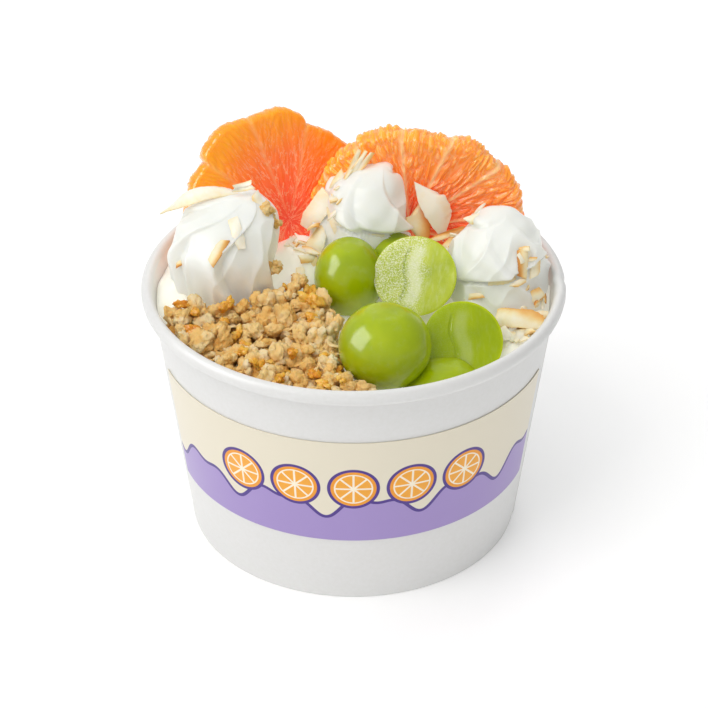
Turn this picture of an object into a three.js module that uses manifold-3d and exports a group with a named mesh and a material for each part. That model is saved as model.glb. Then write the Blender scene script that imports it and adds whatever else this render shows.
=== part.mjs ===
// Frozen yogurt in a round paper tub, heaped with toppings.
// The tub has a rolled rim, a recessed base and a label round its front. It is filled with soft
// frozen yogurt. Three piped cream swirls, two peeled citrus slices, six grapes, a heap of granola
// and toasted coconut chips lie on the yogurt.
// Millimetres, +Z up. The origin is at the middle of the foot and the label faces -Y.
import * as THREE from 'three';
import { mergeVertices } from 'three/addons/utils/BufferGeometryUtils.js';
import Module from 'manifold-3d';

const wasm = await Module();
wasm.setup();

// Tub
const RIM_RADIUS = 57.5;
const FOOT_RADIUS = 45.75;
const CUP_HEIGHT = 74.2;
const BEAD_HALF_WIDTH = 1.6;
const BEAD_HALF_HEIGHT = 2.07;
const BEAD_ANGLES = [-55, 0, 45, 90, 135, 180];
const BEAD_LAP = 0.7;
const PAPER = 0.55;
const FOOT_BEVEL = 0.3;
const FOOT_BEVEL_TOP = 0.4;
const FOLD_HEIGHT = 6.0;
const CHANNEL_WIDTH = 1.2;
const CHANNEL_FLOOR = 0.6;
const BASE_TOP = 7.2;
const BASE_EDGE = 0.6;
const SKIRT_FOOT = 1.0;
const GAP = 0.3;
// A little more than the gap, so that flat facets inside the round wall stay clear of it.
const FACET_ROOM = 0.1;
const WALL_SEGMENTS = 72;
const BASE_SEGMENTS = 48;
const SEAM_START = -10;
const SEAM_WIDTH = 10;
const SEAM_STEP = 0.35;

// Label
const LABEL_BOTTOM = 21.6;
const LABEL_TOP = 56.15;
const LABEL_FROM = -160;
const LABEL_TO = -20;
const LABEL_STEP = 5;
const LABEL_GAP = 0.2;
const LABEL_THICKNESS = 0.25;

// Yogurt filling. It rises from front to back, from the one y for so far.
const FILL_BOTTOM = BASE_TOP + GAP;
const FILL_FRONT = 60.5;
const FILL_BACK = 66.5;
const FILL_RISE_FROM = -30;
const FILL_RISE_LENGTH = 35;
const FILL_SEGMENTS = 36;
const FILL_RINGS = [1, 0.93, 0.84, 0.7, 0.5, 0.25];
// Folds along the wall: the angle of their middle, their half-length in degrees and their height.
const FOLD_RADIUS = 46.5;
const FOLD_WIDTH = 5.5;
const FOLDS = [
  { angle: 180, spread: 34, height: 7.5 },
  { angle: -14, spread: 32, height: 5.5 },
  { angle: 95, spread: 40, height: 2.0 },
];
// Mounds of the filling between the toppings: middle, width and height.
const MOUNDS = [
  { at: [-14, 12.5], width: 10, height: 13.5 },
  { at: [29, -6], width: 8, height: 5 },
  { at: [10, 2], width: 10, height: 3 },
];
// The filling's pockets round the toppings.
const POCKET_SEGMENTS = 20;
const POCKET_ROOM = 0.8;
const POCKET_TOP = 94;

// The room that the toppings keep to. It narrows under the rim's roll.
const ROOM_BOTTOM = 40;
const ROOM_NECK = 68;
const ROOM_RIM_INSET = 1;
const ROOM_RIM_RISE = 3;
const ROOM_TOP = 130;

// Piped swirls. The dome has two exponents, and the waist narrows its foot. Lobes end in a crisp crest,
// at the crest angle at the foot. They twist towards the tip and sway back at mid height. The turns
// of the coil have a crisp lower edge as deep as the tier, and wind up by the hand.
const SWIRL_ROWS = 8;
const SWIRL_SEGMENTS = 36;
const CREST = 0.84;
const CREST_SWELL = 1.4;
const CREST_FADE = 0.5;
const FADE_FROM = 0.6;
const WAIST_TOP = 0.6;
const COIL_EDGE = 0.18;
const COIL_FALL = 0.55;
const TIP_SHIFT = 5;
const SWIRLS = {
  left: {
    base: [-35.4, 3.5, 64], radius: 16.4, height: 32, tip: [6, 2.5], dome: [5, 0.56], waist: 0.14,
    lobes: 6, depth: 0.18, crest: -69, twist: 40, rise: 8, sway: 30, turns: 0, hand: 1, tier: 0,
  },
  back: {
    base: [2.0, 18, 66], radius: 17.2, height: 31.5, tip: [6, 2], dome: [2.8, 0.58], waist: 0,
    lobes: 5, depth: 0.2, crest: -60, twist: -95, rise: 1.5, sway: 0, turns: 1.9, hand: 1, tier: 0.3,
  },
  right: {
    base: [38.8, 2.5, 64], radius: 15.6, height: 28, tip: [1, 3], dome: [3.4, 0.56], waist: 0,
    lobes: 5, depth: 0.1, crest: -30, twist: -110, rise: 1.4, sway: 0, turns: 2.1, hand: -1, tier: 0.3,
  },
};

// Grapes: centre, half-lengths, turn about Z, and the cut face's direction on the halves.
const GRAPES = {
  grape_front: { at: [8.2, -32, 72.4], half: [12.2, 11.6, 11.6], turn: 0 },
  grape_left: { at: [-1.2, 0.5, 73.6], half: [9.5, 9.6, 11.4], turn: 0 },
  grape_behind: { at: [11.5, 9.5, 72.5], half: [8.2, 8.6, 8.6], turn: 20 },
  grape_half_back: { at: [16.4, -7.2, 78.6], half: [11.4, 11, 10.6], turn: 15, cut: [-0.22, -0.82, 0.53] },
  grape_half_right: { at: [28.8, -26.8, 70.6], half: [10.6, 10.8, 10.6], turn: -20, cut: [0.1, -0.72, 0.69] },
  grape_under: { at: [23.4, -33.6, 59.4], half: [11.2, 9.4, 9.2], turn: 35 },
};
const GRAPE_DETAIL = 2;

// Citrus wheels: hub, thickness, lean, turn, the first membrane's angle and each segment's reach.
const SLICE_POINTS = 4;
const SLICE_NOTCH = 1.0;
const SLICE_GROOVE = 0.5;
const SLICE_EDGE = 1.6;
const SLICE_DIMPLE = 0.6;
const SLICES = {
  citrus_slice_left: {
    hub: [-18.6, 28, 76], thickness: 6.8, lean: 20, turn: -20, firstMembrane: 105,
    reach: [32.4, 30.2, 31, 30, 30, 30, 30, 29, 28, 27.2, 31.4],
  },
  citrus_slice_right: {
    hub: [15.9, 25, 77.4], thickness: 6.8, lean: -2, turn: 8, firstMembrane: 95,
    reach: [29.6, 28.4, 28, 28, 28, 28, 28, 29, 30, 31.8, 32.4, 31.4, 28.4],
  },
};

// Granola heap
const HEAP_MIDDLE = [-25, -28];
const HEAP_FLOOR = 59;
const HEAP_WALL_TOP = 70;
const HEAP_CEILING = 95;
const HEAP_LOW = 65.2;
const HEAP_HIGH = 70.8;
const HEAP_RISE_FROM = -50;
const HEAP_RISE_LENGTH = 46;
const HEAP_WAVE = 0.9;
const HEAP_WALL_FROM = -162;
const HEAP_WALL_TO = -82;
const HEAP_WALL_STEPS = 11;
const HEAP_WIDEN = 1.2;
const HEAP_BACK = [[3, -44], [-3, -33], [-6, -20], [-9, -8], [-15, -3], [-24, -7], [-35, -11.5], [-44, -12]];
const HEAP_MARGIN = 3;
const HEAP_OVER_WALL = 3;
const HEAP_CORE_RINGS = [1, 0.72, 0.4, 0];
const CLUSTER_COUNT = 31;
const CLUSTER_SEED = 20261;
const CLUSTER_SINK = 0.45;
const CLUSTER_SCATTER = 3;
const CLUSTER_MIN = 2.4;
const CLUSTER_MAX = 4.6;

// Coconut chips: middle, direction of the length, direction that the face looks, length, width, curl.
const CHIP_THICKNESS = 0.8;
const CHIP_NARROWING = 0.3;
const CHIP_DISH = 0.12;
const CHIP_PLAIN_CURL = 2;
const CHIPS = [
  [[-39.6, 8.2, 95.2], [0.97, 0.03, 0.14], [-0.1, -0.3, 0.95], 23.6, 4.2, 0.16],
  [[-29.6, 6.6, 99.0], [0.98, 0.16, 0.14], [0.05, -0.8, 0.58], 5.6, 2.2, -0.25],
  [[-25.6, 3.8, 94.8], [0.13, -0.82, -0.56], [0.4, -0.45, 0.8], 7.2, 2.9, 0.15],
  [[-35.9, -9.9, 87.8], [0.57, 0.47, 0.68], [-0.17, -0.74, 0.65], 7.4, 2.9, 0.08],
  [[-30.9, -6.0, 91.3], [0.28, -0.66, -0.69], [-0.03, -0.73, 0.68], 8.8, 3.2, 0.1],
  [[0.8, 20.4, 96.8], [0.56, 0.25, 0.79], [-0.3, -0.85, 0.42], 12.0, 3.0, -0.12],
  [[-4.6, 20.1, 91.9], [0.52, 0.22, 0.82], [-0.35, -0.85, 0.4], 6.3, 2.7, 0.1],
  [[-10.2, 16.6, 84.7], [0.53, 0.06, 0.85], [-0.5, -0.78, 0.36], 11.8, 6.1, 0.1],
  [[-10.4, 10.1, 78.1], [0.45, 0.48, 0.76], [-0.3, -0.75, 0.6], 9.6, 4.9, 0.12],
  [[-12.8, 5.6, 74.4], [0.87, 0.15, 0.48], [-0.15, -0.9, 0.4], 7.2, 3.4, 0.12],
  [[-3.9, 10.6, 84.4], [0.41, -0.55, -0.72], [-0.4, -0.74, 0.55], 7.4, 5.0, 0.1],
  [[4.2, 8.9, 80.2], [0.99, -0.1, 0.04], [-0.1, -0.95, 0.3], 6.4, 3.6, 0.1],
  [[17.7, 17.2, 80.9], [-0.03, 0.45, 0.87], [0.4, -0.81, 0.44], 9.0, 7.4, 0.1],
  [[22.8, 17.8, 84.9], [0.42, -0.2, -0.88], [0.1, -0.95, 0.3], 13.4, 7.6, 0.06],
  [[25.8, 14.8, 78.6], [0.94, 0.04, 0.34], [-0.11, -0.9, 0.42], 11.0, 1.9, 0.05],
  [[26.4, 12.4, 77.0], [0.73, 0.17, 0.66], [-0.1, -0.93, 0.36], 6.2, 2.6, 0.08],
  [[33.2, 4.6, 89.6], [0.95, -0.09, 0.3], [-0.31, -0.46, 0.83], 5.8, 2.7, 0.1],
  [[45.1, -7.3, 82.7], [0.01, -0.4, -0.91], [0.4, -0.83, 0.39], 7.8, 3.2, 0.08],
  [[48.8, -4.6, 80.4], [-0.06, -0.7, -0.71], [0.5, -0.6, 0.6], 6.4, 3.0, 0.08],
  [[39.8, -8.8, 78.4], [0.99, 0.1, 0.07], [0.08, -0.93, 0.34], 7.3, 3.2, 0.1],
  [[32.5, -9.0, 73.4], [0.95, -0.15, 0.25], [-0.25, -0.8, 0.55], 5.4, 1.6, 0.05],
  [[44.4, -14.7, 70.0], [0.99, -0.12, -0.05], [0.0, -0.62, 0.78], 13.0, 5.8, 0.14],
  [[40.1, -20.8, 65.9], [0.39, -0.8, -0.46], [-0.25, -0.55, 0.8], 9.4, 6.0, 0.08],
  [[51.4, -1.3, 69.6], [0.1, -0.9, -0.4], [0.3, -0.4, 0.86], 5.6, 1.8, 0.05],
  [[48.7, -7.6, 72.7], [0.8, 0.5, 0.34], [0.3, -0.8, 0.5], 5.2, 3.2, 0.1],
  [[48.9, 3.0, 84.6], [0.45, -0.36, -0.82], [0.3, -0.8, 0.5], 4.6, 2.0, 0.1],
];

const DEGREE = Math.PI / 180;

// A repeatable draw between 0 and 1.
function drawFrom(seed) {
  let state = seed;
  return () => {
    state = (state * 1664525 + 1013904223) % 4294967296;
    return state / 4294967296;
  };
}

function smooth(value) {
  const x = Math.min(1, Math.max(0, value));
  return x * x * (3 - 2 * x);
}

function fraction(value) {
  return value - Math.floor(value);
}

// Outer face of the side wall at a height.
function wallOuter(z) {
  const top = RIM_RADIUS - 2 * BEAD_HALF_WIDTH + PAPER;
  return FOOT_RADIUS + (top - FOOT_RADIUS) * z / (CUP_HEIGHT - BEAD_HALF_HEIGHT);
}

function wallInner(z) {
  return wallOuter(z) - PAPER;
}

// A solid from loose vertices and faces: alike vertices become one, and the faces point out.
function toSolid(positions, faces) {
  const loose = new THREE.BufferGeometry();
  loose.setAttribute('position', new THREE.Float32BufferAttribute(positions, 3));
  loose.setIndex(faces);
  const merged = mergeVertices(loose, 1e-3);
  const points = merged.attributes.position.array;
  const source = merged.index.array;
  const kept = [];
  let volume = 0;
  for (let i = 0; i < source.length; i += 3) {
    const [a, b, c] = [source[i], source[i + 1], source[i + 2]];
    if (a === b || b === c || c === a) continue;
    kept.push(a, b, c);
    const [p, q, r] = [a, b, c].map((k) => new THREE.Vector3().fromArray(points, 3 * k));
    volume += p.dot(q.cross(r));
  }
  if (volume < 0) {
    for (let i = 0; i < kept.length; i += 3) [kept[i + 1], kept[i + 2]] = [kept[i + 2], kept[i + 1]];
  }
  return new wasm.Manifold(new wasm.Mesh({
    numProp: 3,
    vertProperties: new Float32Array(points),
    triVerts: new Uint32Array(kept),
  }));
}

// A solid from rows of points. Each row runs round. The rows close on each other, or else the first
// and the last row are each a single point.
function fromRows(rows, closed = false) {
  const columns = rows[0].length;
  const faces = [];
  const spans = closed ? rows.length : rows.length - 1;
  for (let i = 0; i < spans; i += 1) {
    const next = (i + 1) % rows.length;
    for (let j = 0; j < columns; j += 1) {
      const k = (j + 1) % columns;
      const corners = [i * columns + j, i * columns + k, next * columns + k, next * columns + j];
      faces.push(corners[0], corners[1], corners[2], corners[0], corners[2], corners[3]);
    }
  }
  return toSolid(rows.flat(2), faces);
}

function repeated(point, count) {
  return Array.from({ length: count }, () => point);
}

// The side wall with its rolled rim, and the paper folded up inside the foot. Its seam is a lap
// where the outer face steps out and runs back in.
function cupWall() {
  const beadZ = CUP_HEIGHT - BEAD_HALF_HEIGHT;
  const beadR = RIM_RADIUS - BEAD_HALF_WIDTH;
  const legOuter = FOOT_RADIUS - PAPER - CHANNEL_WIDTH;
  const legLean = wallOuter(FOLD_HEIGHT) - FOOT_RADIUS;
  const beadFoot = beadZ - BEAD_HALF_WIDTH / 2;
  const profile = [[FOOT_RADIUS - FOOT_BEVEL, 0, 1]];
  profile.push(...[FOOT_BEVEL_TOP, beadFoot].map((z) => [wallOuter(z), z, 1]));
  for (const degrees of BEAD_ANGLES) {
    const angle = degrees * DEGREE;
    const lap = degrees < 180 ? BEAD_LAP : 0;
    const [across, up] = [BEAD_HALF_WIDTH * Math.cos(angle), BEAD_HALF_HEIGHT * Math.sin(angle)];
    profile.push([beadR + across, beadZ + up, lap]);
  }
  profile.push([wallInner(CHANNEL_FLOOR), CHANNEL_FLOOR, 0]);
  profile.push([legOuter, CHANNEL_FLOOR, 0]);
  profile.push([legOuter + legLean, FOLD_HEIGHT, 0]);
  profile.push([legOuter + legLean - PAPER, FOLD_HEIGHT, 0]);
  profile.push([legOuter - PAPER, 0, 0]);
  const rows = [];
  for (let j = 0; j < WALL_SEGMENTS; j += 1) {
    const degrees = 360 * j / WALL_SEGMENTS;
    const past = 360 * fraction((degrees - SEAM_START) / 360);
    const step = past < SEAM_WIDTH ? SEAM_STEP * (1 - past / SEAM_WIDTH) : 0;
    const angle = degrees * DEGREE;
    rows.push(profile.map(([r, z, lap]) => {
      const radius = Math.min(RIM_RADIUS, r + step * lap);
      return [radius * Math.cos(angle), radius * Math.sin(angle), z];
    }));
  }
  return fromRows(rows, true);
}

// A solid turned about Z from a profile that starts and ends on the axis, then set in its place.
function turned(profile, segments, matrix = new THREE.Matrix4()) {
  return fromRows(profile.map(([r, z]) => Array.from({ length: segments }, (_, j) => {
    const angle = 2 * Math.PI * j / segments;
    return new THREE.Vector3(r * Math.cos(angle), r * Math.sin(angle), z).applyMatrix4(matrix).toArray();
  })));
}

// The base disc, whose skirt stands in the channel at the foot.
function cupBase() {
  const outer = wallInner(SKIRT_FOOT) - GAP - FACET_ROOM / 2;
  const top = wallInner(BASE_TOP) - GAP - FACET_ROOM / 2;
  return turned([
    [0, BASE_TOP - PAPER], [top - PAPER, BASE_TOP - PAPER], [outer - PAPER, SKIRT_FOOT], [outer, SKIRT_FOOT],
    [top, BASE_TOP - BASE_EDGE], [top - BASE_EDGE, BASE_TOP], [0, BASE_TOP],
  ], BASE_SEGMENTS);
}

// The label, a thin sheet that follows the wall's own facets.
function label() {
  const rows = [];
  for (let degrees = LABEL_FROM; degrees <= LABEL_TO; degrees += LABEL_STEP) {
    const angle = degrees * DEGREE;
    const heights = [LABEL_BOTTOM, LABEL_TOP, LABEL_TOP, LABEL_BOTTOM];
    const loop = heights.map((z, k) => [z, k < 2 ? 0 : LABEL_THICKNESS]);
    rows.push(loop.map(([z, out]) => {
      const radius = wallOuter(z) + LABEL_GAP + out;
      return [radius * Math.cos(angle), radius * Math.sin(angle), z];
    }));
  }
  return capped(rows);
}

// Closes a run of rows with a flat cap at each end.
function capped(rows) {
  const middle = (row) => [0, 1, 2].map((k) => row.reduce((sum, point) => sum + point[k], 0) / row.length);
  const count = rows[0].length;
  return fromRows([
    repeated(middle(rows[0]), count), ...rows, repeated(middle(rows[rows.length - 1]), count),
  ]);
}

// Height of the yogurt before the toppings press into it.
function fillTop(x, y) {
  const radius = Math.hypot(x, y);
  const degrees = Math.atan2(y, x) / DEGREE;
  let z = FILL_FRONT + (FILL_BACK - FILL_FRONT) * smooth((y - FILL_RISE_FROM) / FILL_RISE_LENGTH);
  for (const fold of FOLDS) {
    const away = Math.abs(360 * fraction((degrees - fold.angle) / 360 + 0.5) - 180);
    const across = Math.exp(-(((radius - FOLD_RADIUS) / FOLD_WIDTH) ** 2));
    z += fold.height * across * smooth(1.25 - away / fold.spread);
  }
  for (const mound of MOUNDS) {
    z += mound.height * Math.exp(-((Math.hypot(x - mound.at[0], y - mound.at[1]) / mound.width) ** 2));
  }
  return z;
}

function yogurt() {
  const ring = (radius, z) => Array.from({ length: FILL_SEGMENTS }, (_, j) => {
    const angle = 2 * Math.PI * j / FILL_SEGMENTS;
    return [radius * Math.cos(angle), radius * Math.sin(angle), z];
  });
  const side = (z) => wallInner(z) - GAP - FACET_ROOM;
  const rows = [repeated([0, 0, FILL_BOTTOM], FILL_SEGMENTS), ring(side(FILL_BOTTOM), FILL_BOTTOM)];
  for (const share of FILL_RINGS) {
    rows.push(ring(1, 0).map(([c, s]) => {
      const reach = side(FILL_FRONT) * share;
      const z = fillTop(reach * c, reach * s);
      const radius = share === 1 ? side(z) : reach;
      return [radius * c, radius * s, z];
    }));
  }
  rows.push(repeated([0, 0, fillTop(0, 0)], FILL_SEGMENTS));
  return fromRows(rows);
}

// A point of a piped swirl, t from 0 at the foot to 1 at the tip.
function swirlPoint(swirl, degrees, t, extra) {
  const [x, y, z] = swirl.base;
  const [power, root] = swirl.dome;
  const dome = Math.max(0, 1 - t ** power) ** root * (1 - swirl.waist * (1 - smooth(t / WAIST_TOP)));
  const swing = swirl.twist * t ** swirl.rise - swirl.sway * Math.sin(Math.PI * t ** 1.4);
  const part = fraction(swirl.lobes * (degrees - swirl.crest - swing) / 360 + CREST);
  const ridge = part < CREST ? (part / CREST) ** CREST_SWELL : 1 - smooth((part - CREST) / (1 - CREST));
  const depth = swirl.depth * (1 - CREST_FADE * smooth((t - FADE_FROM) / (1 - FADE_FROM)));
  const turn = fraction(swirl.turns * t + swirl.hand * (degrees + 90) / 360);
  const coil = smooth(turn / COIL_EDGE) * (1 - COIL_FALL * turn ** 1.5);
  const form = 1 - depth * (1 - ridge) - swirl.tier * (1 - coil);
  const radius = swirl.radius * dome * form + (dome > 0 ? extra : 0);
  const shift = t ** TIP_SHIFT;
  return [
    x + swirl.tip[0] * shift + radius * Math.cos(degrees * DEGREE),
    y + swirl.tip[1] * shift + radius * Math.sin(degrees * DEGREE),
    z + swirl.height * t,
  ];
}

function swirlSolid(swirl, extra = 0) {
  const rows = [];
  const low = swirl.base[2] - extra;
  const top = swirlPoint(swirl, 0, 1, extra);
  rows.push(repeated([swirl.base[0], swirl.base[1], low], SWIRL_SEGMENTS));
  for (let i = 0; i < SWIRL_ROWS; i += 1) {
    const t = i / SWIRL_ROWS;
    rows.push(Array.from({ length: SWIRL_SEGMENTS }, (_, j) => {
      const [x, y, z] = swirlPoint(swirl, 360 * j / SWIRL_SEGMENTS, t, extra);
      return [x, y, i === 0 ? low : z];
    }));
  }
  rows.push(repeated([top[0], top[1], top[2] + extra], SWIRL_SEGMENTS));
  return fromRows(rows);
}

function fromGeometry(geometry, matrix) {
  const plain = geometry.clone();
  plain.deleteAttribute('normal');
  plain.deleteAttribute('uv');
  plain.applyMatrix4(matrix);
  const merged = mergeVertices(plain, 1e-3);
  return toSolid(Array.from(merged.attributes.position.array), Array.from(merged.index.array));
}

// A grape, or half of one with its flat face towards the cut direction.
function grape({ at, half, turn, cut }, extra = 0, detail = GRAPE_DETAIL) {
  const place = new THREE.Matrix4().compose(
    new THREE.Vector3(...at),
    new THREE.Quaternion().setFromAxisAngle(new THREE.Vector3(0, 0, 1), turn * DEGREE),
    new THREE.Vector3(...half.map((length) => length + extra)),
  );
  const whole = fromGeometry(new THREE.IcosahedronGeometry(1, detail), place);
  if (!cut) return whole;
  const facing = new THREE.Vector3(...cut).normalize();
  const size = 6 * Math.max(...half);
  const block = new THREE.Matrix4().compose(
    new THREE.Vector3(...at).addScaledVector(facing, size / 2 + extra),
    new THREE.Quaternion().setFromUnitVectors(new THREE.Vector3(0, 0, 1), facing),
    new THREE.Vector3(1, 1, 1),
  );
  return whole.subtract(fromGeometry(new THREE.BoxGeometry(size, size, size), block));
}

function slicePlace({ hub, lean, turn }) {
  return new THREE.Matrix4().makeTranslation(...hub)
    .multiply(new THREE.Matrix4().makeRotationZ(-turn * DEGREE))
    .multiply(new THREE.Matrix4().makeRotationX(-lean * DEGREE));
}

// A peeled citrus wheel: one round lobe a segment, with grooves at the membranes. It is drawn in
// its own plane, with the face along -Y, then leant back and turned.
function slice(one, extra = 0) {
  const { thickness, firstMembrane, reach: reaches } = one;
  const place = slicePlace(one);
  const count = reaches.length;
  const columns = count * SLICE_POINTS;
  const ring = (share, y) => Array.from({ length: columns }, (_, j) => {
    const along = j / SLICE_POINTS;
    const lobe = Math.abs(Math.sin(Math.PI * along));
    const degrees = firstMembrane + 360 * along / count;
    const own = reaches[Math.floor(along)];
    const low = Math.min(own, reaches[(Math.floor(along) + count - 1) % count]);
    const full = lobe < 0.01 ? low - SLICE_NOTCH : own;
    const reach = full + extra;
    const groove = SLICE_GROOVE * (1 - lobe) * Math.min(1, 2 * share);
    const point = new THREE.Vector3(
      reach * share * Math.cos(degrees * DEGREE),
      y - Math.sign(y) * groove,
      reach * share * Math.sin(degrees * DEGREE),
    ).applyMatrix4(place);
    return [point.x, point.y, point.z];
  });
  const half = thickness / 2 + extra;
  const rows = [];
  for (const side of [-1, 1]) {
    const faceRows = [
      ring(0, side * (half - SLICE_DIMPLE)), ring(0.5, side * half), ring(0.9, side * half),
      ring(1, side * (half - SLICE_EDGE)),
    ];
    rows.push(...(side < 0 ? faceRows : faceRows.reverse()));
  }
  return fromRows(rows);
}

// A coconut chip: a thin curved shaving, a little narrower at its ends.
function chip([at, along, face, length, width, curl], extra = 0) {
  const middle = new THREE.Vector3(...at);
  const u = new THREE.Vector3(...along).normalize();
  const n = new THREE.Vector3(...face).normalize();
  n.addScaledVector(u, -n.dot(u)).normalize();
  const v = new THREE.Vector3().crossVectors(n, u);
  const rows = [];
  for (const s of [-1, -0.4, 0.4, 1]) {
    const half = (width / 2) * (1 - CHIP_NARROWING * s * s) + extra;
    const loop = [[-1, 1], [0, 1], [1, 1], [1, -1], [0, -1], [-1, -1]];
    rows.push(loop.map(([across, side]) => {
      const bend = -curl * length * s * s + CHIP_DISH * width * (1 - across * across);
      const point = middle.clone()
        .addScaledVector(u, s * (length / 2 + extra))
        .addScaledVector(v, across * half)
        .addScaledVector(n, bend + side * (CHIP_THICKNESS / 2 + extra));
      return [point.x, point.y, point.z];
    }));
  }
  return capped(rows);
}

// The space a chip needs: a plain block round it, or its own form where it curls far.
function chipSpace(values) {
  const [at, along, face, length, width, curl] = values;
  if (Math.abs(curl) * length > CHIP_PLAIN_CURL) return chip(values, GAP);
  const u = new THREE.Vector3(...along).normalize();
  const n = new THREE.Vector3(...face).normalize();
  n.addScaledVector(u, -n.dot(u)).normalize();
  const low = Math.min(0, -curl * length) - CHIP_THICKNESS / 2 - GAP;
  const high = Math.max(0, -curl * length) + CHIP_DISH * width + CHIP_THICKNESS / 2 + GAP;
  const block = new THREE.Matrix4().makeBasis(u, new THREE.Vector3().crossVectors(n, u), n);
  block.setPosition(new THREE.Vector3(...at).addScaledVector(n, (low + high) / 2));
  return fromGeometry(new THREE.BoxGeometry(length + 2 * GAP, width + 2 * GAP, high - low), block);
}

// Outline of the granola heap, with the part towards the toppings pushed out by a margin.
function heapOutline(margin) {
  const widen = HEAP_WIDEN * margin;
  const from = HEAP_WALL_FROM - widen;
  const step = (HEAP_WALL_TO + widen - from) / HEAP_WALL_STEPS;
  const points = [];
  for (let i = 0; i <= HEAP_WALL_STEPS; i += 1) points.push({ angle: (from + i * step) * DEGREE });
  for (const [x, y] of HEAP_BACK) {
    const away = new THREE.Vector2(x - HEAP_MIDDLE[0], y - HEAP_MIDDLE[1]);
    away.setLength(away.length() + margin);
    points.push({ x: HEAP_MIDDLE[0] + away.x, y: HEAP_MIDDLE[1] + away.y });
  }
  return points;
}

function heapRow(margin, z, wallRadius, share = 1, height = () => z) {
  return heapOutline(margin).map(({ angle, x, y }) => {
    const px = angle === undefined ? x : wallRadius * Math.cos(angle);
    const py = angle === undefined ? y : wallRadius * Math.sin(angle);
    const cx = HEAP_MIDDLE[0] + (px - HEAP_MIDDLE[0]) * share;
    const cy = HEAP_MIDDLE[1] + (py - HEAP_MIDDLE[1]) * share;
    return [cx, cy, height(cx, cy)];
  });
}

// The space that the heap keeps to. With extra it reaches past the wall, to clear the filling there.
function heapSpace(extra = 0) {
  const reach = (z) => (extra > 0 ? wallInner(z) + HEAP_OVER_WALL : wallInner(z) - GAP - 2 * FACET_ROOM);
  const low = HEAP_FLOOR - extra;
  const rows = [
    heapRow(HEAP_MARGIN + extra, low, reach(low), 0),
    heapRow(HEAP_MARGIN + extra, low, reach(low)),
    heapRow(HEAP_MARGIN + extra, HEAP_WALL_TOP, reach(HEAP_WALL_TOP)),
    heapRow(HEAP_MARGIN + extra, HEAP_CEILING, reach(HEAP_WALL_TOP)),
    heapRow(HEAP_MARGIN + extra, HEAP_CEILING, reach(HEAP_WALL_TOP), 0),
  ];
  return fromRows(rows);
}

// Height of the heap's core: it rises away from the front, with low waves.
function heapTop(x, y) {
  const rise = smooth((y - HEAP_RISE_FROM) / HEAP_RISE_LENGTH);
  return HEAP_LOW + (HEAP_HIGH - HEAP_LOW) * rise + HEAP_WAVE * Math.sin(x * 0.45) * Math.cos(y * 0.5);
}

// The granola: a core with the clusters that show joined on, inside its own space.
function granola() {
  const wallRadius = wallInner(HEAP_FLOOR) - GAP - 4 * FACET_ROOM;
  const floor = HEAP_FLOOR + 2 * FACET_ROOM;
  const rows = [heapRow(0, floor, wallRadius, 0), heapRow(0, floor, wallRadius)];
  for (const share of HEAP_CORE_RINGS) rows.push(heapRow(0, 0, wallRadius, share, heapTop));
  let heap = fromRows(rows);
  const draw = drawFrom(CLUSTER_SEED);
  const outline = heapRow(0, 0, wallInner(HEAP_WALL_TOP) - 2.5);
  for (let i = 0; i < CLUSTER_COUNT; i += 1) {
    const edge = outline[Math.floor(i * 0.618034 * outline.length) % outline.length];
    const share = Math.sqrt((i + 0.5) / CLUSTER_COUNT);
    const x = HEAP_MIDDLE[0] + (edge[0] - HEAP_MIDDLE[0]) * share + CLUSTER_SCATTER * (draw() - 0.5);
    const y = HEAP_MIDDLE[1] + (edge[1] - HEAP_MIDDLE[1]) * share + CLUSTER_SCATTER * (draw() - 0.5);
    const size = CLUSTER_MIN + (CLUSTER_MAX - CLUSTER_MIN) * draw();
    const place = new THREE.Matrix4().compose(
      new THREE.Vector3(x, y, heapTop(x, y) + CLUSTER_SINK * size),
      new THREE.Quaternion().setFromEuler(new THREE.Euler(6 * draw(), 6 * draw(), 6 * draw())),
      new THREE.Vector3(0.8 + 0.5 * draw(), 0.8 + 0.4 * draw(), 0.7 + 0.3 * draw()).multiplyScalar(size),
    );
    heap = heap.add(fromGeometry(new THREE.IcosahedronGeometry(1, 0), place));
  }
  return heap.intersect(heapSpace());
}

// Plain pockets for the filling: each holds a topping's form with room to spare.
function pockets() {
  const spaces = [];
  const around = (radius, low, high, matrix) => turned([
    [0, low], [radius, low], [radius, high], [0, high],
  ], POCKET_SEGMENTS, matrix);
  const wide = 1 / Math.cos(Math.PI / POCKET_SEGMENTS);
  const { base, radius } = SWIRLS.back;
  const middle = new THREE.Matrix4().makeTranslation(base[0], base[1], 0);
  spaces.push(around(radius * wide + GAP, base[2] - GAP, POCKET_TOP, middle));
  spaces.push(swirlSolid(SWIRLS.left, GAP), swirlSolid(SWIRLS.right, GAP));
  for (const one of Object.values(SLICES)) {
    const half = one.thickness / 2 + GAP;
    const flat = slicePlace(one).multiply(new THREE.Matrix4().makeRotationX(Math.PI / 2));
    spaces.push(around(Math.max(...one.reach) * wide + GAP, -half, half, flat));
  }
  for (const one of Object.values(GRAPES)) spaces.push(grape(one, GAP + POCKET_ROOM, 1));
  return spaces;
}

// The room inside the wall, and over the rim no wider than the rim.
function roomInside() {
  const room = (z) => wallInner(z) - GAP - FACET_ROOM;
  const over = RIM_RADIUS - ROOM_RIM_INSET;
  return turned([
    [0, ROOM_BOTTOM], [room(ROOM_BOTTOM), ROOM_BOTTOM], [room(ROOM_NECK), ROOM_NECK],
    [room(ROOM_NECK), CUP_HEIGHT + GAP], [over, CUP_HEIGHT + ROOM_RIM_RISE], [over, ROOM_TOP], [0, ROOM_TOP],
  ], BASE_SEGMENTS);
}

// The largest body of a solid, without scraps that a cut has left.
function largest(solid) {
  return solid.decompose().sort((a, b) => b.volume() - a.volume())[0];
}

const group = new THREE.Group();

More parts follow.
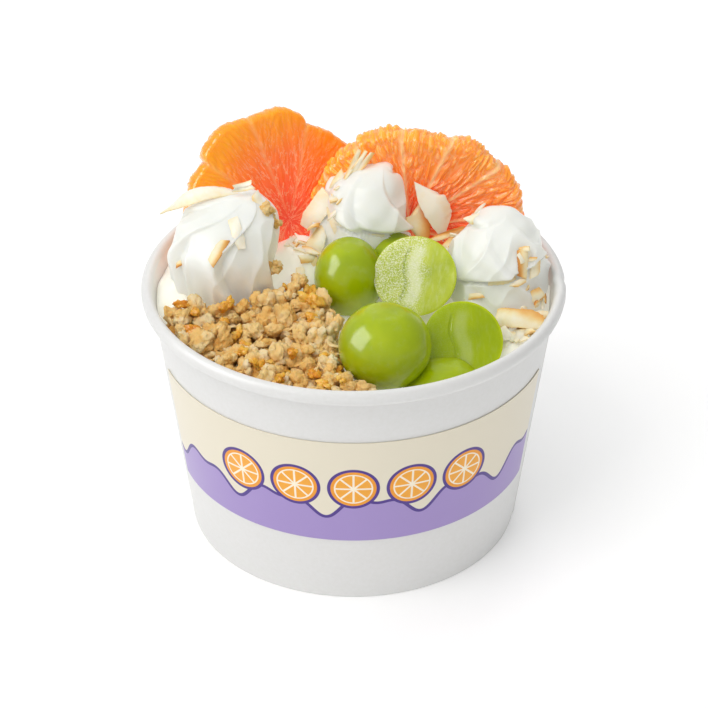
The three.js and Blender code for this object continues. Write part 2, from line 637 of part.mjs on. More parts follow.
function place(name, solid, color, roughness, metalness = 0) {
  const mesh = solid.getMesh();
  const geometry = new THREE.BufferGeometry();
  geometry.setAttribute('position', new THREE.Float32BufferAttribute(mesh.vertProperties, 3));
  geometry.setIndex(Array.from(mesh.triVerts));
  geometry.computeVertexNormals();
  const object = new THREE.Mesh(geometry, new THREE.MeshStandardMaterial({ color, roughness, metalness }));
  object.name = name;
  group.add(object);
}

place('cup_wall', cupWall(), 0xf2f2f0, 0.5);
place('cup_base', cupBase(), 0xf2f2f0, 0.5);
place('label', label(), 0xe3dccb, 0.4);

const chips = CHIPS.map((values) => chip(values));
const chipSpaces = CHIPS.map((values) => chipSpace(values));
const grapeSpaces = Object.fromEntries(Object.entries(GRAPES).map(([name, one]) => [name, grape(one, GAP)]));
const sliceSpaces = Object.values(SLICES).map((one) => slice(one, GAP));
const swirlSpaces = Object.values(SWIRLS).map((one) => swirlSolid(one, GAP));

const room = roomInside();

// Keeps a topping inside the tub and takes the others' spaces out of it.
function pressed(solid, spaces) {
  return carved(solid.intersect(room), spaces);
}

function carved(solid, spaces) {
  return largest(spaces.reduce((left, space) => left.subtract(space), solid));
}

const grapeList = Object.values(grapeSpaces);
const { grape_front, grape_left, grape_half_back, grape_half_right } = grapeSpaces;

place('yogurt', carved(yogurt(), [
  heapSpace(GAP), ...pockets(), ...chipSpaces,
]), 0xf4f3ea, 0.35);

Object.entries(SWIRLS).forEach(([side, swirl], i) => {
  const others = swirlSpaces.slice(0, i);
  place(`swirl_${side}`, pressed(swirlSolid(swirl), [...others, ...sliceSpaces, ...grapeList, ...chipSpaces]),
    0xf6f5ee, 0.3);
});

place('granola', pressed(granola(), [...grapeList, ...swirlSpaces, ...chipSpaces]), 0xd9b282, 0.8);

const pressedBy = {
  grape_left: [grape_half_back],
  grape_half_right: [grape_front],
  grape_behind: [grape_left, grape_half_back, ...chipSpaces],
  grape_under: [grape_front, grape_half_right],
};
for (const [name, one] of Object.entries(GRAPES)) {
  place(name, pressed(grape(one), pressedBy[name] ?? []), 0x9bbb1e, 0.25);
}

Object.entries(SLICES).forEach(([name, one], i) => {
  place(name, pressed(slice(one), [...sliceSpaces.slice(0, i), ...chipSpaces]), 0xf58a2c, 0.35);
});

chips.forEach((solid, i) => {
  place(`coconut_chip_${String(i + 1).padStart(2, '0')}`, solid, 0xf1e2c6, 0.6);
});

export default group;
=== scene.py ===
import math
import random

import bpy
import numpy as np
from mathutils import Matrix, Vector, noise
from mathutils.bvhtree import BVHTree


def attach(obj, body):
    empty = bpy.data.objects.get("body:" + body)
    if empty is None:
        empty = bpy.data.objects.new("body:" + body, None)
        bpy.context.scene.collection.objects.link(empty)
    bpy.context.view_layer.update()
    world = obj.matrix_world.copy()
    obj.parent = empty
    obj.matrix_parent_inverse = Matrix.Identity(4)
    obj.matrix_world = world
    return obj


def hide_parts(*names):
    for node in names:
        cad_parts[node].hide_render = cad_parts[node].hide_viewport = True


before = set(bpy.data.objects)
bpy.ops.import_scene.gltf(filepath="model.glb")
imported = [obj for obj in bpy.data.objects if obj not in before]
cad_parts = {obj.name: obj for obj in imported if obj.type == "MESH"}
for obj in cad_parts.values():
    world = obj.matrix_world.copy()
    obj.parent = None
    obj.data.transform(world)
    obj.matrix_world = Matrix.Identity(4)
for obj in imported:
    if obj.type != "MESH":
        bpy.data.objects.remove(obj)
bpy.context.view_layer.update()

bl_info = {
    "name": "Frozen Yogurt Cup",
    "version": (1, 0, 0),
    "blender": (4, 5, 0),
    "location": "3D View > Sidebar > Frozen Yogurt",
    "description": "Builds a paper tub of frozen yogurt with cream, fruit, granola and coconut",
    "category": "Add Mesh",
}

MM = 0.001

# Tub sizes in millimetres.
RIM_RADIUS = 57.5
FOOT_RADIUS = 45.75
CUP_HEIGHT = 74.2
BEAD_HALF_WIDTH = 1.6
BEAD_HALF_HEIGHT = 2.07
PAPER = 0.55
BASE_TOP = 7.2
FOLD_HEIGHT = 6.0
CHANNEL_WIDTH = 1.2
CHANNEL_FLOOR = 0.6
SKIRT_FOOT = 1.0
GAP = 0.3
SEAM_ANGLE = -10.0
SEAM_SPREAD = 10
RING_STEPS = 300
# Painted reflections of the citrus slices on the inner wall: bearing, spread and strength.
CITRUS_REFLECTIONS = ((166, 9, 0.2), (12, 9, 0.25))
LABEL_BOTTOM = 21.6
LABEL_TOP = 56.15
LABEL_HALF_ANGLE = 70.0
LABEL_GAP = 0.08

# The label's print in millimetres: the wavy border's level and waves, and the row of rounds.
PRINT_LEVEL = 12.5
PRINT_WAVES = ((26.0, 2.6, 0.4), (13.0, 1.5, 1.9))
PRINT_EDGE = 0.06
ROUND_SPACING = 15.5
ROUND_COUNT = 5
ROUND_HEIGHT = 18.6

# The filling's level and its folds and mounds.
FILL_FRONT = 60.5
FILL_BACK = 66.5
FOLDS = [(180, 34, 7.5), (-14, 32, 5.5), (95, 40, 2.0)]
MOUNDS = [((-14, 12.5), 10, 13.5), ((29, -6), 8, 5), ((10, 2), 10, 3)]

# Piped swirls: each has lobes with a crisp crest, which lean and twist, and coils with a crisp edge.
SWIRLS = {
    "swirl_left": dict(
        base=(-35.4, 3.5, 64), radius=16.4, height=32, tip=(6, 2.5), dome=(5, 0.56), waist=0.14,
        lobes=6, depth=0.18, crest=-69, twist=40, rise=8, sway=30, turns=0, hand=1, tier=0),
    "swirl_back": dict(
        base=(2.0, 18, 66), radius=17.2, height=31.5, tip=(6, 2), dome=(2.8, 0.58), waist=0,
        lobes=5, depth=0.2, crest=-60, twist=-95, rise=1.5, sway=0, turns=1.9, hand=1, tier=0.3),
    "swirl_right": dict(
        base=(38.8, 2.5, 64), radius=15.6, height=28, tip=(1, 3), dome=(3.4, 0.56), waist=0,
        lobes=5, depth=0.1, crest=-30, twist=-110, rise=1.4, sway=0, turns=2.1, hand=-1, tier=0.24),
}
CREST = 0.84

# A cut grape has the way that its cut faces.
GRAPES = {
    "grape_front": dict(at=(8.2, -32, 72.4), half=(12.2, 11.6, 11.6), turn=0),
    "grape_left": dict(at=(-1.2, 0.5, 73.6), half=(9.5, 9.6, 11.4), turn=0),
    "grape_behind": dict(at=(11.5, 9.5, 72.5), half=(8.2, 8.6, 8.6), turn=20),
    "grape_half_back": dict(
        at=(16.4, -7.2, 78.6), half=(11.4, 11, 10.6), turn=15, cut=(-0.22, -0.82, 0.53)),
    "grape_half_right": dict(
        at=(28.8, -26.8, 70.6), half=(10.6, 10.8, 10.6), turn=-20, cut=(0.1, -0.72, 0.69)),
    "grape_under": dict(at=(23.4, -33.6, 59.4), half=(11.2, 9.4, 9.2), turn=35),
}

# Citrus slices: reach is each segment's, and steps are the columns of the mesh in a segment.
SLICES = {
    "citrus_slice_left": dict(
        hub=(-18.6, 28, 76), thickness=6.8, lean=20, turn=-20, first=105, rough=0.3, steps=40, seed=3,
        reach=(32.4, 30.2, 31, 30, 30, 30, 30, 29, 28, 27.2, 31.4)),
    "citrus_slice_right": dict(
        hub=(15.9, 25, 77.4), thickness=6.8, lean=-2, turn=8, first=95, rough=1.0, steps=48, seed=7,
        reach=(29.6, 28.4, 28, 28, 28, 28, 28, 29, 30, 31.8, 32.4, 31.4, 28.4)),
}
SLICE_NOTCH = 0.7
SLICE_FACE = 0.95

# Granola heap.
HEAP_MIDDLE = (-25, -28)
HEAP_FOOT = 59.5
HEAP_COLUMNS = 90
HEAP_BACK = [(3, -44), (-3, -33), (-6, -20), (-9, -8), (-15, -3), (-24, -7), (-35, -11.5), (-44, -12)]
HEAP_WALL = (-162, -82)

# Coconut chips: middle, along, facing, length, width, curl, toast from 0 pale to 1 brown.
CHIPS = [
    ((-39.6, 8.2, 95.2), (0.97, 0.03, 0.14), (-0.1, -0.3, 0.95), 23.6, 4.2, 0.16, 0.12),
    ((-29.6, 6.4, 98.2), (0.98, 0.16, 0.14), (0.05, -0.8, 0.58), 5.6, 2.2, -0.25, 0.2),
    ((-25.6, 3.8, 94.8), (0.13, -0.82, -0.56), (0.4, -0.45, 0.8), 7.2, 2.9, 0.15, 0.3),
    ((-35.9, -9.9, 87.8), (0.57, 0.47, 0.68), (-0.17, -0.74, 0.65), 7.4, 2.9, 0.08, 0.6),
    ((-30.9, -6.0, 91.3), (0.28, -0.66, -0.69), (-0.03, -0.73, 0.68), 8.8, 3.2, 0.1, 0.1),
    ((0.8, 20.4, 96.8), (0.56, 0.25, 0.79), (-0.3, -0.85, 0.42), 12.0, 3.0, -0.12, 0.4),
    ((-4.6, 20.1, 91.9), (0.52, 0.22, 0.82), (-0.35, -0.85, 0.4), 6.3, 2.7, 0.1, 0.3),
    ((-10.2, 16.6, 84.7), (0.53, 0.06, 0.85), (-0.5, -0.78, 0.36), 11.8, 6.1, 0.1, 0.12),
    ((-10.4, 10.1, 78.1), (0.45, 0.48, 0.76), (-0.3, -0.75, 0.6), 9.6, 4.9, 0.12, 0.22),
    ((-12.8, 5.6, 74.4), (0.87, 0.15, 0.48), (-0.15, -0.9, 0.4), 7.2, 3.4, 0.12, 0.75),
    ((-3.9, 10.6, 84.4), (0.41, -0.55, -0.72), (-0.4, -0.74, 0.55), 7.4, 5.0, 0.1, 0.1),
    ((4.2, 8.9, 80.2), (0.99, -0.1, 0.04), (-0.1, -0.95, 0.3), 6.4, 3.6, 0.1, 0.3),
    ((17.7, 17.2, 80.9), (-0.03, 0.45, 0.87), (0.4, -0.81, 0.44), 9.0, 7.4, 0.1, 0.62),
    ((22.8, 17.8, 84.9), (0.42, -0.2, -0.88), (0.1, -0.95, 0.3), 13.4, 7.6, 0.06, 0.05),
    ((25.8, 14.8, 78.6), (0.94, 0.04, 0.34), (-0.11, -0.9, 0.42), 11.0, 1.9, 0.05, 0.9),
    ((26.4, 12.4, 77.0), (0.73, 0.17, 0.66), (-0.1, -0.93, 0.36), 6.2, 2.6, 0.08, 0.45),
    ((33.2, 4.6, 89.6), (0.95, -0.09, 0.3), (-0.31, -0.46, 0.83), 5.8, 2.7, 0.1, 0.3),
    ((45.1, -7.3, 82.7), (0.01, -0.4, -0.91), (0.4, -0.83, 0.39), 7.8, 3.2, 0.08, 0.7),
    ((48.8, -4.6, 80.4), (-0.06, -0.7, -0.71), (0.5, -0.6, 0.6), 6.4, 3.0, 0.08, 0.35),
    ((39.8, -8.8, 78.4), (0.99, 0.1, 0.07), (0.08, -0.93, 0.34), 7.3, 3.2, 0.1, 0.5),
    ((32.5, -9.0, 73.4), (0.95, -0.15, 0.25), (-0.25, -0.8, 0.55), 5.4, 1.6, 0.05, 0.5),
    ((44.4, -14.7, 70.0), (0.99, -0.12, -0.05), (0.0, -0.62, 0.78), 13.0, 5.8, 0.14, 0.5),
    ((40.1, -20.8, 65.9), (0.39, -0.8, -0.46), (-0.25, -0.55, 0.8), 9.4, 6.0, 0.08, 0.1),
    ((51.4, -1.3, 69.6), (0.1, -0.9, -0.4), (0.3, -0.4, 0.86), 5.6, 1.8, 0.05, 0.8),
    ((48.7, -7.6, 72.7), (0.8, 0.5, 0.34), (0.3, -0.8, 0.5), 5.2, 3.2, 0.1, 0.4),
    ((48.9, 3.0, 84.6), (0.45, -0.36, -0.82), (0.3, -0.8, 0.5), 4.6, 2.0, 0.1, 0.45),
]
# Chips that are a fan of thin strips, by their number.
FANS = {6: 3, 2: 2}
# Where small flakes lie: middle, spread in mm, the share of them, and the largest one's length.
FLAKES = [
    ((-13, 10), 4, 0.2, 6.5), ((47, -9), 3, 0.16, 7.5), ((45, -17), 3.5, 0.2, 8), ((-36, 6), 5, 0.03, 3),
    ((25, 12), 3.5, 0.14, 6), ((51, 2), 2.5, 0.07, 4), ((-5, 14), 4, 0.08, 6), ((-47, -4), 3, 0.02, 3),
    ((8, 42), 9, 0.05, 5),
]
DAIRY = ("frozen_yogurt", "swirl_left_cream", "swirl_back_cream", "swirl_right_cream")
# Granola crumbs that have fallen on the left swirl, with their sizes.
STRAYS = (
    ((-21.5, -3.4, 79.0), 2.4), ((-23.2, 2.4, 93.4), 1.9), ((-20.6, 3.6, 88.6), 1.6), ((-22.2, 3.0, 91.0), 1.3),
)

# Form

def smooth(value):
    """A soft rise from 0 to 1."""
    x = np.clip(value, 0, 1)
    return x * x * (3 - 2 * x)


def wall_outer(z):
    top = RIM_RADIUS - 2 * BEAD_HALF_WIDTH + PAPER
    return FOOT_RADIUS + (top - FOOT_RADIUS) * z / (CUP_HEIGHT - BEAD_HALF_HEIGHT)


def wall_inner(z):
    return wall_outer(z) - PAPER


def ripple(points, size, seed):
    """Soft uneven waves, about size millimetres long, between -1 and 1."""
    draw = np.random.default_rng(seed)
    total = np.zeros(points.shape[:-1])
    for _ in range(7):
        way = draw.normal(size=3)
        way /= np.linalg.norm(way)
        total += np.sin(points @ way * (2 * math.pi / size) * draw.uniform(0.6, 1.5) + draw.uniform(0, 7))
    return total / 3.5


def off_angle(degrees, angle):
    """How far bearings are from an angle, from 0 to 180."""
    return np.abs((degrees - angle + 540) % 360 - 180)


def turned(angle):
    """A turn about Z as a 3 by 3 matrix."""
    return np.array([
        [math.cos(angle), -math.sin(angle), 0], [math.sin(angle), math.cos(angle), 0], [0, 0, 1]])


def fill_top(x, y):
    """The filling's surface without its ripples."""
    radius = np.hypot(x, y)
    degrees = np.degrees(np.arctan2(y, x))
    z = FILL_FRONT + (FILL_BACK - FILL_FRONT) * smooth((y + 30) / 35)
    for angle, spread, height in FOLDS:
        away = off_angle(degrees, angle)
        z = z + height * np.exp(-(((radius - 46.5) / 5.5) ** 2)) * smooth(1.25 - away / spread)
    for (mx, my), width, height in MOUNDS:
        z = z + height * np.exp(-((np.hypot(x - mx, y - my) / width) ** 2))
    return z


def drapes(x, y):
    """Soft folds of yogurt that run down to the wall round the right swirl."""
    base = SWIRLS["swirl_right"]["base"]
    away = np.hypot(x - base[0], y - base[1]) - SWIRLS["swirl_right"]["radius"]
    turn = np.arctan2(y - base[1], x - base[0]) + 0.06 * away
    part = (11 * turn / (2 * math.pi)) % 1
    crest = np.where(part < 0.8, (part / 0.8) ** 1.5, 1 - smooth((part - 0.8) / 0.2))
    return 1.7 * (crest - 0.4) * np.exp(-(((away - 3) / 5) ** 2))


def swirl_points(swirl, degrees, t):
    """Points of a piped swirl, t from 0 at the foot to 1 at the tip."""
    power, root = swirl["dome"]
    dome = np.maximum(0, 1 - t ** power) ** root * (1 - swirl["waist"] * (1 - smooth(t / 0.6)))
    swing = swirl["twist"] * t ** swirl["rise"] - swirl["sway"] * np.sin(np.pi * t ** 1.4)
    part = (swirl["lobes"] * (degrees - swirl["crest"] - swing) / 360 + CREST) % 1
    ridge = np.where(part < CREST, (part / CREST) ** 1.4, 1 - smooth((part - CREST) / (1 - CREST)))
    turn = (swirl["turns"] * t + swirl["hand"] * (degrees + 90) / 360) % 1
    coil = smooth(turn / 0.18) * (1 - 0.55 * turn ** 1.5) if swirl["turns"] else 1.0
    depth = swirl["depth"] * (1 - 0.5 * smooth((t - 0.6) / 0.4))
    form = 1 - depth * (1 - ridge) - swirl["tier"] * (1 - coil)
    radius = swirl["radius"] * dome * form
    shift = t ** 5
    x, y, z = swirl["base"]
    angle = np.radians(degrees)
    return np.stack([
        x + swirl["tip"][0] * shift + radius * np.cos(angle),
        y + swirl["tip"][1] * shift + radius * np.sin(angle),
        z + swirl["height"] * t + 0 * radius,
    ], axis=-1)


def heap_outline(count, inset=0.0):
    """Points round the edge of the granola heap."""
    reach = wall_inner(65) - 0.4
    points = [(reach * math.cos(a), reach * math.sin(a)) for a in np.radians(np.linspace(*HEAP_WALL, 24))]
    points += HEAP_BACK
    ring = np.array(points + points[:1], dtype=float)
    away = ring - HEAP_MIDDLE
    ring = HEAP_MIDDLE + away * (1 - inset / np.linalg.norm(away, axis=1))[:, None]
    along = np.concatenate([[0], np.cumsum(np.linalg.norm(np.diff(ring, axis=0), axis=1))])
    at = np.linspace(0, along[-1], count, endpoint=False)
    return np.stack([np.interp(at, along, ring[:, k]) for k in (0, 1)], axis=1)


def heap_top(x, y):
    rise = smooth((y + 50) / 46)
    return 65.2 + 5.6 * rise + 0.9 * np.sin(x * 0.45) * np.cos(y * 0.5)


def grid_faces(rows, columns, wrap_rows=False, wrap_columns=True):
    """Four-sided faces between rows of points."""
    i, j = np.meshgrid(
        np.arange(rows if wrap_rows else rows - 1),
        np.arange(columns if wrap_columns else columns - 1), indexing="ij")
    a = i * columns + j
    b = i * columns + (j + 1) % columns
    c = ((i + 1) % rows) * columns + (j + 1) % columns
    d = ((i + 1) % rows) * columns + j
    return np.stack([a, b, c, d], axis=-1).reshape(-1, 4)


def ball(rings, columns):
    """A round ball as points and faces, with its axis along Z."""
    tilt = np.linspace(0, math.pi, rings)[:, None]
    turn = np.linspace(0, 2 * math.pi, columns, endpoint=False)[None, :]
    points = np.stack([
        np.sin(tilt) * np.cos(turn), np.sin(tilt) * np.sin(turn), np.cos(tilt) + 0 * turn], axis=-1)
    return points.reshape(-1, 3), grid_faces(rings, columns)


def frame_of(along, face):
    """Unit vectors along, across and out of a flat thing."""
    u = Vector(along).normalized()
    n = Vector(face)
    n = (n - u * n.dot(u)).normalized()
    return np.array([u, n.cross(u), n])


# Mesh building

def make(name, points, faces, material, values=None, sharp=None):
    """A mesh object from millimetre points. values are named numbers, one a point."""
    mesh = bpy.data.meshes.new(name)
    corners = (np.asarray(points).reshape(-1, 3) * MM).tolist()
    mesh.from_pydata(corners, [], [tuple(face) for face in np.asarray(faces).tolist()])
    for key, numbers in (values or {}).items():
        layer = mesh.attributes.new(key, "FLOAT", "POINT")
        layer.data.foreach_set("value", np.asarray(numbers, dtype=np.float32).reshape(-1))
    mesh.validate()
    mesh.shade_smooth()
    if sharp:
        mesh.set_sharp_from_angle(angle=math.radians(sharp))
    mesh.materials.append(material)
    piece = bpy.data.objects.new(name, mesh)
    bpy.context.scene.collection.objects.link(piece)
    return piece


def joined(shapes):
    """Many shapes as one list of points, faces and values."""
    points, faces, values, start = [], [], {}, 0
    for shape_points, shape_faces, shape_values in shapes:
        points.append(shape_points)
        faces.append(shape_faces + start)
        start += len(shape_points)
        for key, number in shape_values.items():
            values.setdefault(key, []).append(np.broadcast_to(number, len(shape_points)))
    return np.concatenate(points), np.concatenate(faces), {k: np.concatenate(v) for k, v in values.items()}


def stands_for(piece, slot, *nodes):
    """Puts a piece on the tub's body in place of the nodes, which it hides. The slot is not used."""
    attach(piece, "root")
    if nodes:
        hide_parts(*nodes)


# Materials

# The colour sockets of a Mix node, how it is set for colours, and how a soft step is set.
FACTOR, UNDER, OVER = 0, 6, 7
COLOURS = {"out": 2, "data_type": "RGBA"}
SOFT = {"interpolation_type": "SMOOTHSTEP"}


def linear(colour):
    """An sRGB hex colour as linear values. Anything else stays as it is."""
    if not isinstance(colour, str):
        return colour
    parts = [int(colour[i:i + 2], 16) / 255 for i in (1, 3, 5)]
    return tuple(c / 12.92 if c <= 0.04045 else ((c + 0.055) / 1.055) ** 2.4 for c in parts) + (1.0,)


def add(tree, kind, inputs=(), out=0, stops=(), **settings):
    """Adds a shader node with its settings, links or sets its inputs, and gives one output.

    Inputs are a list in the node's order, or named. Stops are the places and colours of a ramp."""
    node = tree.nodes.new("ShaderNode" + kind)
    for key, setting in settings.items():
        setattr(node, key, setting)
    for name, given in inputs.items() if isinstance(inputs, dict) else enumerate(inputs):
        if isinstance(given, bpy.types.NodeSocket):
            tree.links.new(given, node.inputs[name])
        else:
            node.inputs[name].default_value = linear(given)
    if stops:
        elements = node.color_ramp.elements
        while len(elements) < len(stops):
            elements.new(0.5)
        for element, (at, colour) in zip(elements, stops):
            element.position = at
            element.color = linear(colour)
    return node.outputs[out] if node.outputs else None


def blank(name):
    material = bpy.data.materials.new(name)
    material.use_nodes = True
    tree = material.node_tree
    tree.nodes.clear()
    return material, tree


def surface(tree, inputs):
    """Ends a material with its surface."""
    add(tree, "OutputMaterial", {"Surface": add(tree, "BsdfPrincipled", inputs)})


def layered(tree, colour, layers):
    """Lays colours over a colour. Each follows a value from low, where it is clear, to high."""
    for given, low, high, amount, over in layers:
        share = add(tree, "MapRange", {
            "Value": given, "From Min": low, "From Max": high, "To Max": amount,
        }, **SOFT)
        colour = add(tree, "Mix", {FACTOR: share, UNDER: colour, OVER: over}, **COLOURS)
    return colour


def coated_paperboard(settings):
    """Bleached paperboard with a thin plastic coat: white, satin, with a faint fibre mottle."""
    material, tree = blank("coated_paperboard")
    place = add(tree, "TexCoord", out="Object")
    mottle = add(tree, "TexNoise", {"Vector": place, "Scale": 900, "Detail": 4})
    colour = add(tree, "ValToRGB", [mottle], stops=[(0.3, settings.paper_shade), (0.7, settings.paper)])
    # Painted reflection: the inner face near the rim is tinted orange-pink, as if lit by the citrus slices.
    citrus_reflection = add(tree, "Attribute", out="Fac", attribute_name="citrus_reflection")
    colour = add(tree, "Mix", {FACTOR: citrus_reflection, UNDER: colour, OVER: "#F4A58C"}, **COLOURS)
    surface(tree, {
        "Base Color": colour, "Roughness": 0.42, "IOR": 1.5, "Coat Weight": 0.15, "Coat Roughness": 0.25,
        "Subsurface Weight": 0.08, "Subsurface Radius": (1.0, 1.0, 1.0), "Subsurface Scale": 0.0008,
        "Normal": add(tree, "Bump", {"Height": mottle, "Distance": 0.00003, "Strength": 0.5}),
    })
    return material


def printed_paper(settings):
    """Satin label paper printed in cream, lavender, violet and orange.

    The print is drawn from two lengths on the paper: across, in mm from the label's middle, and up,
    in mm from its lower edge."""
    material, tree = blank("printed_label_paper")
    across, up = (add(tree, "Attribute", out="Fac", attribute_name=key) for key in ("across", "up"))
    # A wavy upper edge for the lavender field. Its slope keeps the outline even.
    level, slope = PRINT_LEVEL, 0.0
    for length, height, start in PRINT_WAVES:
        bend = 2 * math.pi / length
        turn = add(tree, "Math", [across, bend, start], operation="MULTIPLY_ADD")
        sine = add(tree, "Math", [turn], operation="SINE")
        cosine = add(tree, "Math", [turn], operation="COSINE")
        level = add(tree, "Math", [sine, height, level], operation="MULTIPLY_ADD")
        slope = add(tree, "Math", [cosine, height * bend, slope], operation="MULTIPLY_ADD")
    square = add(tree, "Math", [slope, slope, 1.0], operation="MULTIPLY_ADD")
    steep = add(tree, "Math", [square], operation="SQRT")
    above = add(tree, "Math", [up, level], operation="SUBTRACT")
    over = add(tree, "Math", [above, steep], operation="DIVIDE")
    edge = add(tree, "Math", [over], operation="ABSOLUTE")
    colour = layered(tree, settings.lavender, [
        (over, -0.05, 0.05, 1.0, settings.cream), (edge, 0.55, 0.45, 1.0, settings.violet),
    ])
    # A row of round fruit slices, each in a cell of its own.
    shifted = add(tree, "Math", [across, ROUND_SPACING * 50.5], operation="ADD")
    cell = add(tree, "Math", [shifted, ROUND_SPACING], operation="FLOORED_MODULO")
    cell = add(tree, "Math", [cell, ROUND_SPACING / 2], operation="SUBTRACT")
    rise = add(tree, "Math", [up, ROUND_HEIGHT], operation="SUBTRACT")
    rise_square = add(tree, "Math", [rise, rise], operation="MULTIPLY")
    square = add(tree, "Math", [cell, cell, rise_square], operation="MULTIPLY_ADD")
    away = add(tree, "Math", [square], operation="SQRT")
    off = add(tree, "Math", [across], operation="ABSOLUTE")
    inside = add(tree, "Math", [off, ROUND_SPACING * ROUND_COUNT / 2], operation="LESS_THAN")
    # The spokes of a slice: the sine of the angle to the nearest one, times the distance.
    angle = add(tree, "Math", [rise, cell], operation="ARCTAN2")
    angle = add(tree, "Math", [angle, 4 * math.pi], operation="ADD")
    wedge = add(tree, "Math", [angle, math.pi / 8], operation="PINGPONG")
    sine = add(tree, "Math", [wedge], operation="SINE")
    beside = add(tree, "Math", [sine, away], operation="MULTIPLY")
    spoke = add(tree, "MapRange", {"Value": beside, "From Min": 0.32, "From Max": 0.22}, **SOFT)
    for radius, ink in ((6.9, settings.violet), (6.0, settings.orange), (5.1, "#FFF3DC"), (4.7, "#F7A928")):
        disc = add(tree, "MapRange", {
            "Value": away, "From Min": radius + PRINT_EDGE, "From Max": radius - PRINT_EDGE,
        }, **SOFT)
        disc = add(tree, "Math", [disc, inside], operation="MULTIPLY")
        colour = add(tree, "Mix", {FACTOR: disc, UNDER: colour, OVER: ink}, **COLOURS)
    spoke = add(tree, "Math", [spoke, disc], operation="MULTIPLY")
    colour = add(tree, "Mix", {FACTOR: spoke, UNDER: colour, OVER: "#FFF3DC"}, **COLOURS)
    place = add(tree, "TexCoord", out="Object")
    fibre = add(tree, "TexNoise", {"Vector": place, "Scale": 1500, "Detail": 3})
    surface(tree, {
        "Base Color": colour, "Roughness": 0.38, "IOR": 1.5, "Coat Weight": 0.12, "Coat Roughness": 0.2,
        "Normal": add(tree, "Bump", {"Height": fibre, "Distance": 0.00002, "Strength": 0.4}),
    })
    return material


def dairy(name, pale, shade, roughness, foam, glow):
    """Aerated milk cream or yogurt: bright, lets light in a little, and is moist on top. A painted glow lifts its
    shade.
    """
    material, tree = blank(name)
    place = add(tree, "TexCoord", out="Object")
    drift = add(tree, "TexNoise", {"Vector": place, "Scale": 70, "Detail": 2})
    waves = add(tree, "TexNoise", {"Vector": place, "Scale": 420, "Detail": 2})
    bubbles = add(tree, "TexNoise", {"Vector": place, "Scale": 2600, "Detail": 4})
    soft = add(tree, "Bump", {"Height": waves, "Distance": 0.00012, "Strength": 0.4})
    surface(tree, {
        "Base Color": add(tree, "ValToRGB", [drift], stops=[(0.25, shade), (0.75, pale)]),
        "Roughness": roughness, "IOR": 1.38, "Coat Weight": 0.12, "Coat Roughness": 0.18,
        "Subsurface Weight": 0.6, "Subsurface Radius": (1.0, 0.94, 0.82), "Subsurface Scale": 0.0035,
        # Painted glow: the cream and yogurt give off a little light of their own, which lifts their shade.
        "Emission Color": "#FFFDF2", "Emission Strength": glow,
        "Normal": add(tree, "Bump", {
            "Height": bubbles, "Distance": 0.00004, "Strength": foam, "Normal": soft,
        }),
    })
    return material


def toasted_oats():
    """Baked oat clusters: dry and rough, tan with browner and paler bits."""
    material, tree = blank("toasted_oat_clusters")
    place = add(tree, "TexCoord", out="Object")
    patch = add(tree, "TexNoise", {"Vector": place, "Scale": 520, "Detail": 4, "Roughness": 0.6})
    grain = add(tree, "TexNoise", {"Vector": place, "Scale": 1800, "Detail": 5, "Roughness": 0.7})
    # Each piece's tone, which holds painted shade in the clefts between its grains.
    own = add(tree, "Attribute", out="Fac", attribute_name="tone")
    own = add(tree, "Math", [own, 0.62], operation="MULTIPLY")
    toast = add(tree, "Math", [patch, 0.38, own], operation="MULTIPLY_ADD")
    lumps = add(tree, "Bump", {"Height": patch, "Distance": 0.001, "Strength": 0.8})
    surface(tree, {
        "Base Color": add(tree, "ValToRGB", [toast], stops=[
            (0.0, "#A8641C"), (0.18, "#E09C40"), (0.36, "#FAC46C"), (0.62, "#FFD890"), (0.9, "#FFEDC6"),
        ]),
        "Roughness": 0.72, "IOR": 1.45,
        "Subsurface Weight": 0.15, "Subsurface Radius": (1.0, 0.6, 0.3), "Subsurface Scale": 0.0008,
        "Normal": add(tree, "Bump", {
            "Height": grain, "Distance": 0.0005, "Strength": 0.9, "Normal": lumps,
        }),
    })
    return material


def honey_glaze():
    """Honey-glazed corn and dried fruit bits: amber, a little clear and glossy."""
    material, tree = blank("honey_glazed_bits")
    place = add(tree, "TexCoord", out="Object")
    patch = add(tree, "TexNoise", {"Vector": place, "Scale": 600, "Detail": 3})
    grain = add(tree, "TexNoise", {"Vector": place, "Scale": 1500, "Detail": 4})
    own = add(tree, "Attribute", out="Fac", attribute_name="tone")
    own = add(tree, "Math", [own, 0.6], operation="MULTIPLY")
    amber = add(tree, "Math", [patch, 0.4, own], operation="MULTIPLY_ADD")
    surface(tree, {
        "Base Color": add(tree, "ValToRGB", [amber], stops=[
            (0.2, "#D98A1E"), (0.6, "#EDB23C"), (0.9, "#F6D070"),
        ]),
        "Roughness": 0.3, "IOR": 1.48,
        "Subsurface Weight": 0.3, "Subsurface Radius": (1.0, 0.55, 0.15), "Subsurface Scale": 0.0015,
        "Normal": add(tree, "Bump", {"Height": grain, "Distance": 0.0003, "Strength": 0.6}),
    })
    return material


